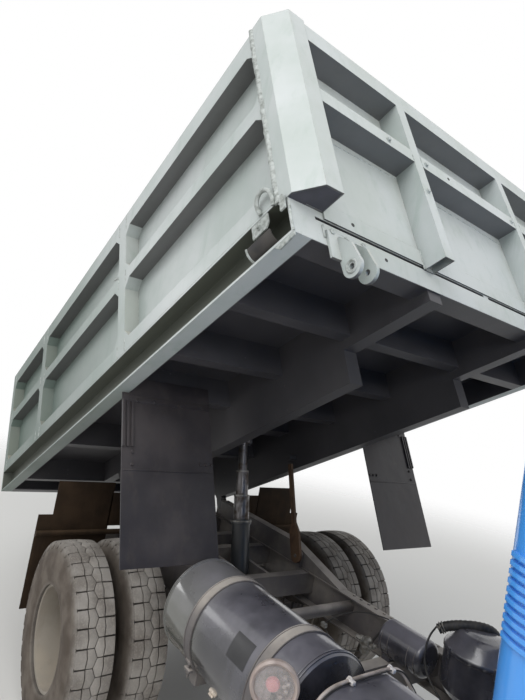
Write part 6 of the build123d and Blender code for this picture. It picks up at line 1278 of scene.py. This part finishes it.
finishParts("dialMarks", marks, "chassis", whiteNylon, smooth=False)
finishParts("dialHands", hands, "chassis", orangeAcrylic, smooth=False)
inside = [roundedBox(fromAxle(3.988, y, 1.592), (0.014, 0.018, 0.026), 0.003)
          for y in np.linspace(-0.20, 0.16, 7)]
inside.append(loopMesh(loopPath(allFromAxle(((3.984, -0.82, 1.552), (3.984, -0.32, 1.552),
                                             (4.000, -0.32, 1.632), (4.000, -0.82, 1.632))), 0.018), 0.0028))
tilt = np.array(((0.80, 0, 0.60), (0, 1, 0), (-0.60, 0, 0.80)))
for y in (0.430, 0.530, 0.790):
    inside.append(roundedBox(fromAxle(3.900, y, 1.250), (0.012, 0.062, 0.088), 0.004, tilt))
    inside.append(curvedTube(((3.904, y, 1.248), (3.990, y, 1.290), (4.060, y, 1.380), (4.080, y, 1.450)), 20,
                             0.008))
inside.append(curvedTube(((3.420, 0.10, 1.330), (3.430, 0.104, 1.420), (3.470, 0.125, 1.540),
                          (3.480, 0.130, 1.620)), 24, 0.0075, 10))
knob = np.linspace(-1.3, 1.55, 9)
inside.append(revolvedMesh(np.stack((np.maximum(pole, 0.025 * np.cos(knob)), 0.027 * np.sin(knob)), axis=1),
                           fromAxle(3.480, 0.130, 1.632), (0.05, 0.03, 1), 24))
bellows = np.arange(13)
inside.append(revolvedMesh(np.stack((0.052 - 0.0034 * bellows + 0.004 * (bellows % 2), 0.0085 * bellows),
                                    axis=1), fromAxle(3.420, 0.10, 1.330), (0.1, 0.04, 1), 28))
screenAxes = np.array((screenOut, (0, 1, 0), screenUp))
for y in (-0.48, 0.48):
    inside.append(roundedBox(fromAxle(3.875, y, 2.420), (0.016, 0.46, 0.120), 0.006, screenAxes))
inside.append(roundedBox(fromAxle(3.640, 0.640, 1.155), (0.52, 0.54, 0.010), 0.003))
for y in np.arange(0.400, 0.890, 0.024):
    inside.append(boxMesh(fromAxle(3.640, y, 1.161), (0.49, 0.010, 0.004)))
finishParts("cabControlsAndMat", inside, "chassis", materials["trim_plastic"])
print("cab inside done")

# Seats: foam pads under vinyl, puffed up by a cloth run between sewn channels
seat = {"x": 3.010, "z": 1.360, "y": 0.600, "voxel": 0.0085, "pressure": 4.0, "cap": 0.024, "channel": 0.074,
        "steps": 20}
seatBack = np.array(((0.9916, 0, 0.129), (0, 1, 0), (-0.129, 0, 0.9916)))


def puffedSeat(name, side):
    # the remeshed slabs are the start; points on channels and hidden faces are sewn down, the rest swell
    shape = joinMeshes([roundedBox(fromAxle(seat["x"] + 0.016, side * seat["y"], seat["z"] + 0.060),
                                   (0.530, 0.440, 0.104), 0.034),
                        roundedBox(fromAxle(seat["x"] - 0.236, side * seat["y"], seat["z"] + 0.385),
                                   (0.084, 0.440, 0.590), 0.034, seatBack)])
    source = finishPiece(name + "Start", *shape, "chassis", materials["seat_vinyl"], smooth=False)
    remesh = source.modifiers.new("remesh", "REMESH")
    remesh.mode, remesh.voxel_size = "VOXEL", seat["voxel"]
    graph = bpy.context.evaluated_depsgraph_get()
    mesh = bpy.data.meshes.new_from_object(source.evaluated_get(graph))
    bpy.data.objects.remove(source)
    pad = bpy.data.objects.new(name, mesh)
    bpy.context.scene.collection.objects.link(pad)
    count = len(mesh.vertices)
    start, normals = np.empty(count * 3), np.empty(count * 3)
    mesh.vertices.foreach_get("co", start)
    mesh.vertices.foreach_get("normal", normals)
    start, normals = start.reshape(-1, 3), normals.reshape(-1, 3)
    offset = start[:, 1] - side * seat["y"]
    fromLine = np.abs((offset + seat["channel"] / 2) % seat["channel"] - seat["channel"] / 2)
    onFront = (normals @ np.array((0.7, 0, 0.7))) > 0.35
    middle = (np.abs(offset) < 0.19) & (start[:, 2] < seat["z"] + 0.64)
    sewn = (fromLine < 0.0042) & onFront & middle | (normals[:, 2] < -0.6) | (normals[:, 0] < -0.75)
    group = pad.vertex_groups.new(name="sewn")
    group.add(np.flatnonzero(sewn).tolist(), 1.0, "REPLACE")
    cloth = pad.modifiers.new("cloth", "CLOTH")
    cloth.settings.vertex_group_mass = "sewn"
    cloth.settings.use_pressure = True
    cloth.settings.uniform_pressure_force = seat["pressure"]
    cloth.settings.effector_weights.gravity = 0
    cloth.point_cache.frame_start, cloth.point_cache.frame_end = 1, seat["steps"]
    for step in range(1, seat["steps"] + 1):
        bpy.context.scene.frame_set(step)
    graph = bpy.context.evaluated_depsgraph_get()
    final = np.empty(count * 3)
    pad.evaluated_get(graph).data.vertices.foreach_get("co", final)
    pad.modifiers.remove(cloth)
    bpy.context.scene.frame_set(1)
    move = final.reshape(-1, 3) - start
    length = np.linalg.norm(move, axis=1, keepdims=True)
    # no point moves further than the cap
    share = np.minimum(1, seat["cap"] / np.maximum(length, 1e-9))
    mesh.vertices.foreach_set("co", (start + move * share).ravel())
    print(name, "largest swell in mm:", round(float(length.max()) * 1000, 1))
    smoother = pad.modifiers.new("finer", "SUBSURF")
    smoother.levels = smoother.render_levels = 1
    graph = bpy.context.evaluated_depsgraph_get()
    finer = bpy.data.meshes.new_from_object(pad.evaluated_get(graph))
    bpy.data.objects.remove(pad)
    piece = bpy.data.objects.new(name, finer)
    bpy.context.scene.collection.objects.link(piece)
    finer.materials.clear()
    finer.materials.append(materials["seat_vinyl"])
    finer.shade_smooth()
    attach(piece, "chassis")
    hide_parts("seats")
    print(name, "done:", len(finer.polygons), "faces")


puffedSeat("seatPadLeft", 1)
puffedSeat("seatPadRight", -1)


# Camera at the photograph's place: its three axes in the part's frame, fitted to the truck's long edges
camera = {
    "place": (1.7134, -2.0218, 1.9956), "focalPixels": 494.37, "frameWidth": 525,
    "right": (0.58302793, 0.79306182, 0.17644089), "down": (0.04345787, 0.18641819, -0.98150888),
    "forward": (-0.811289, 0.57991483, 0.07422223)}
lens = bpy.data.cameras.new("photoCamera")
eye = bpy.data.objects.new("photoCamera", lens)
bpy.context.scene.collection.objects.link(eye)
columns = np.array((camera["right"], -np.array(camera["down"]), -np.array(camera["forward"]))).T
placed = Matrix.Identity(4)
for row in range(3):
    placed[row][:3] = columns[row].tolist()
    placed[row][3] = camera["place"][row]
eye.matrix_world = placed
lens.sensor_fit = "HORIZONTAL"
lens.sensor_width = 36.0
lens.lens = camera["focalPixels"] / camera["frameWidth"] * lens.sensor_width
lens.clip_start, lens.clip_end = 0.05, 200
bpy.context.scene.camera = eye

# Floor and light: a pale floor that fades into a white surround, a large soft key above, a fill in front
# and a small lamp behind on the right that draws the highlight along the tank
stageLook = {"floorRadius": 30.0, "fadeStart": 5.0, "fadeEnd": 11.0, "floorTone": "#D2D0CC", "sky": 0.88,
             "groundShare": 0.48,
             "keyPower": 360, "keyPlace": (1.5, -6.5, 8.0), "keySize": 6.0, "fillPower": 330,
             "fillPlace": (8.0, -2.0, 4.0), "fillSize": 5.0,
             "glintPower": 26, "glintPlace": (-5.5, -4.6, 3.4), "glintSize": 1.6}


def stageFloor():
    # rings round the origin, radius growing with the square of the ring's number, in the plane z = 0
    profile = np.stack((np.linspace(0.02, 1, 14) ** 2 * stageLook["floorRadius"], np.zeros(14)), axis=1)
    points, faces = revolvedMesh(profile, (0, 0, 0), (0, 0, 1), 64, closed=False)
    faces.append([i * 14 for i in range(64)])
    mesh = bpy.data.meshes.new("stageFloor")
    mesh.from_pydata(points.tolist(), [], faces)
    floor = bpy.data.objects.new("stageFloor", mesh)
    bpy.context.scene.collection.objects.link(floor)
    material, tree, shader, place = startMaterial("mattFloorPale")
    distance = addNode(tree, "VectorMath", {"operation": "LENGTH"}, {0: place}, "Value")
    fade = addNode(tree, "MapRange", smoothStep,
                   {0: distance, 1: stageLook["fadeStart"], 2: stageLook["fadeEnd"]}, 0)
    feed(tree, shader, {"Base Color": hexColour(stageLook["floorTone"]), "Roughness": 0.9})
    clear = addNode(tree, "BsdfTransparent", {}, {}, 0)
    mixed = addNode(tree, "MixShader", {}, {0: fade, 1: shader.outputs[0], 2: clear}, 0)
    feed(tree, tree.nodes["Material Output"], {"Surface": mixed})
    mesh.materials.append(material)


def softLamp(name, place, size, power, target):
    data = bpy.data.lights.new(name, "AREA")
    data.shape, data.size, data.energy = "DISK", size, power
    lamp = bpy.data.objects.new(name, data)
    lamp.location = place
    lamp.rotation_euler = (Vector(target) - Vector(place)).to_track_quat("-Z", "Y").to_euler()
    bpy.context.scene.collection.objects.link(lamp)


def surround():
    # white to the camera, to mirrors and through glass; a dimmer even sky to everything else
    world = bpy.data.worlds.new("studioSurround")
    world.use_nodes = True
    tree = world.node_tree
    ray = addNode(tree, "LightPath", {}, {}).outputs
    seen = addNode(tree, "Math", larger, {0: ray["Is Glossy Ray"], 1: ray["Is Transmission Ray"]}, 0)
    seen = addNode(tree, "Math", larger, {0: ray["Is Camera Ray"], 1: seen}, 0)
    backdrop = addNode(tree, "Background", {}, {"Color": (1, 1, 1, 1), "Strength": 1.0}, 0)
    # the sky is dimmer below the horizon, where ground would be
    way = addNode(tree, "TexCoord", {}, {}, "Generated")
    way = addNode(tree, "SeparateXYZ", {}, {0: way}, "Z")
    strength = addNode(tree, "MapRange", smoothStep, {
        0: way, 1: -0.1, 2: 0.25, 3: stageLook["sky"] * stageLook["groundShare"], 4: stageLook["sky"]}, 0)
    sky = addNode(tree, "Background", {}, {"Color": hexColour("#F4F7FA"), "Strength": strength}, 0)
    mixed = addNode(tree, "MixShader", {}, {0: seen, 1: sky, 2: backdrop}, 0)
    feed(tree, tree.nodes["World Output"], {"Surface": mixed})
    bpy.context.scene.world = world


stageFloor()
surround()
softLamp("keyLamp", stageLook["keyPlace"], stageLook["keySize"], stageLook["keyPower"], (0, 0, 1))
softLamp("fillLamp", stageLook["fillPlace"], stageLook["fillSize"], stageLook["fillPower"], (0, 0, 1))
softLamp("glintLamp", stageLook["glintPlace"], stageLook["glintSize"], stageLook["glintPower"],
         (-0.2, -0.7, 1.0))
bpy.context.scene.view_settings.view_transform = "Standard"
print("camera, floor and light done")
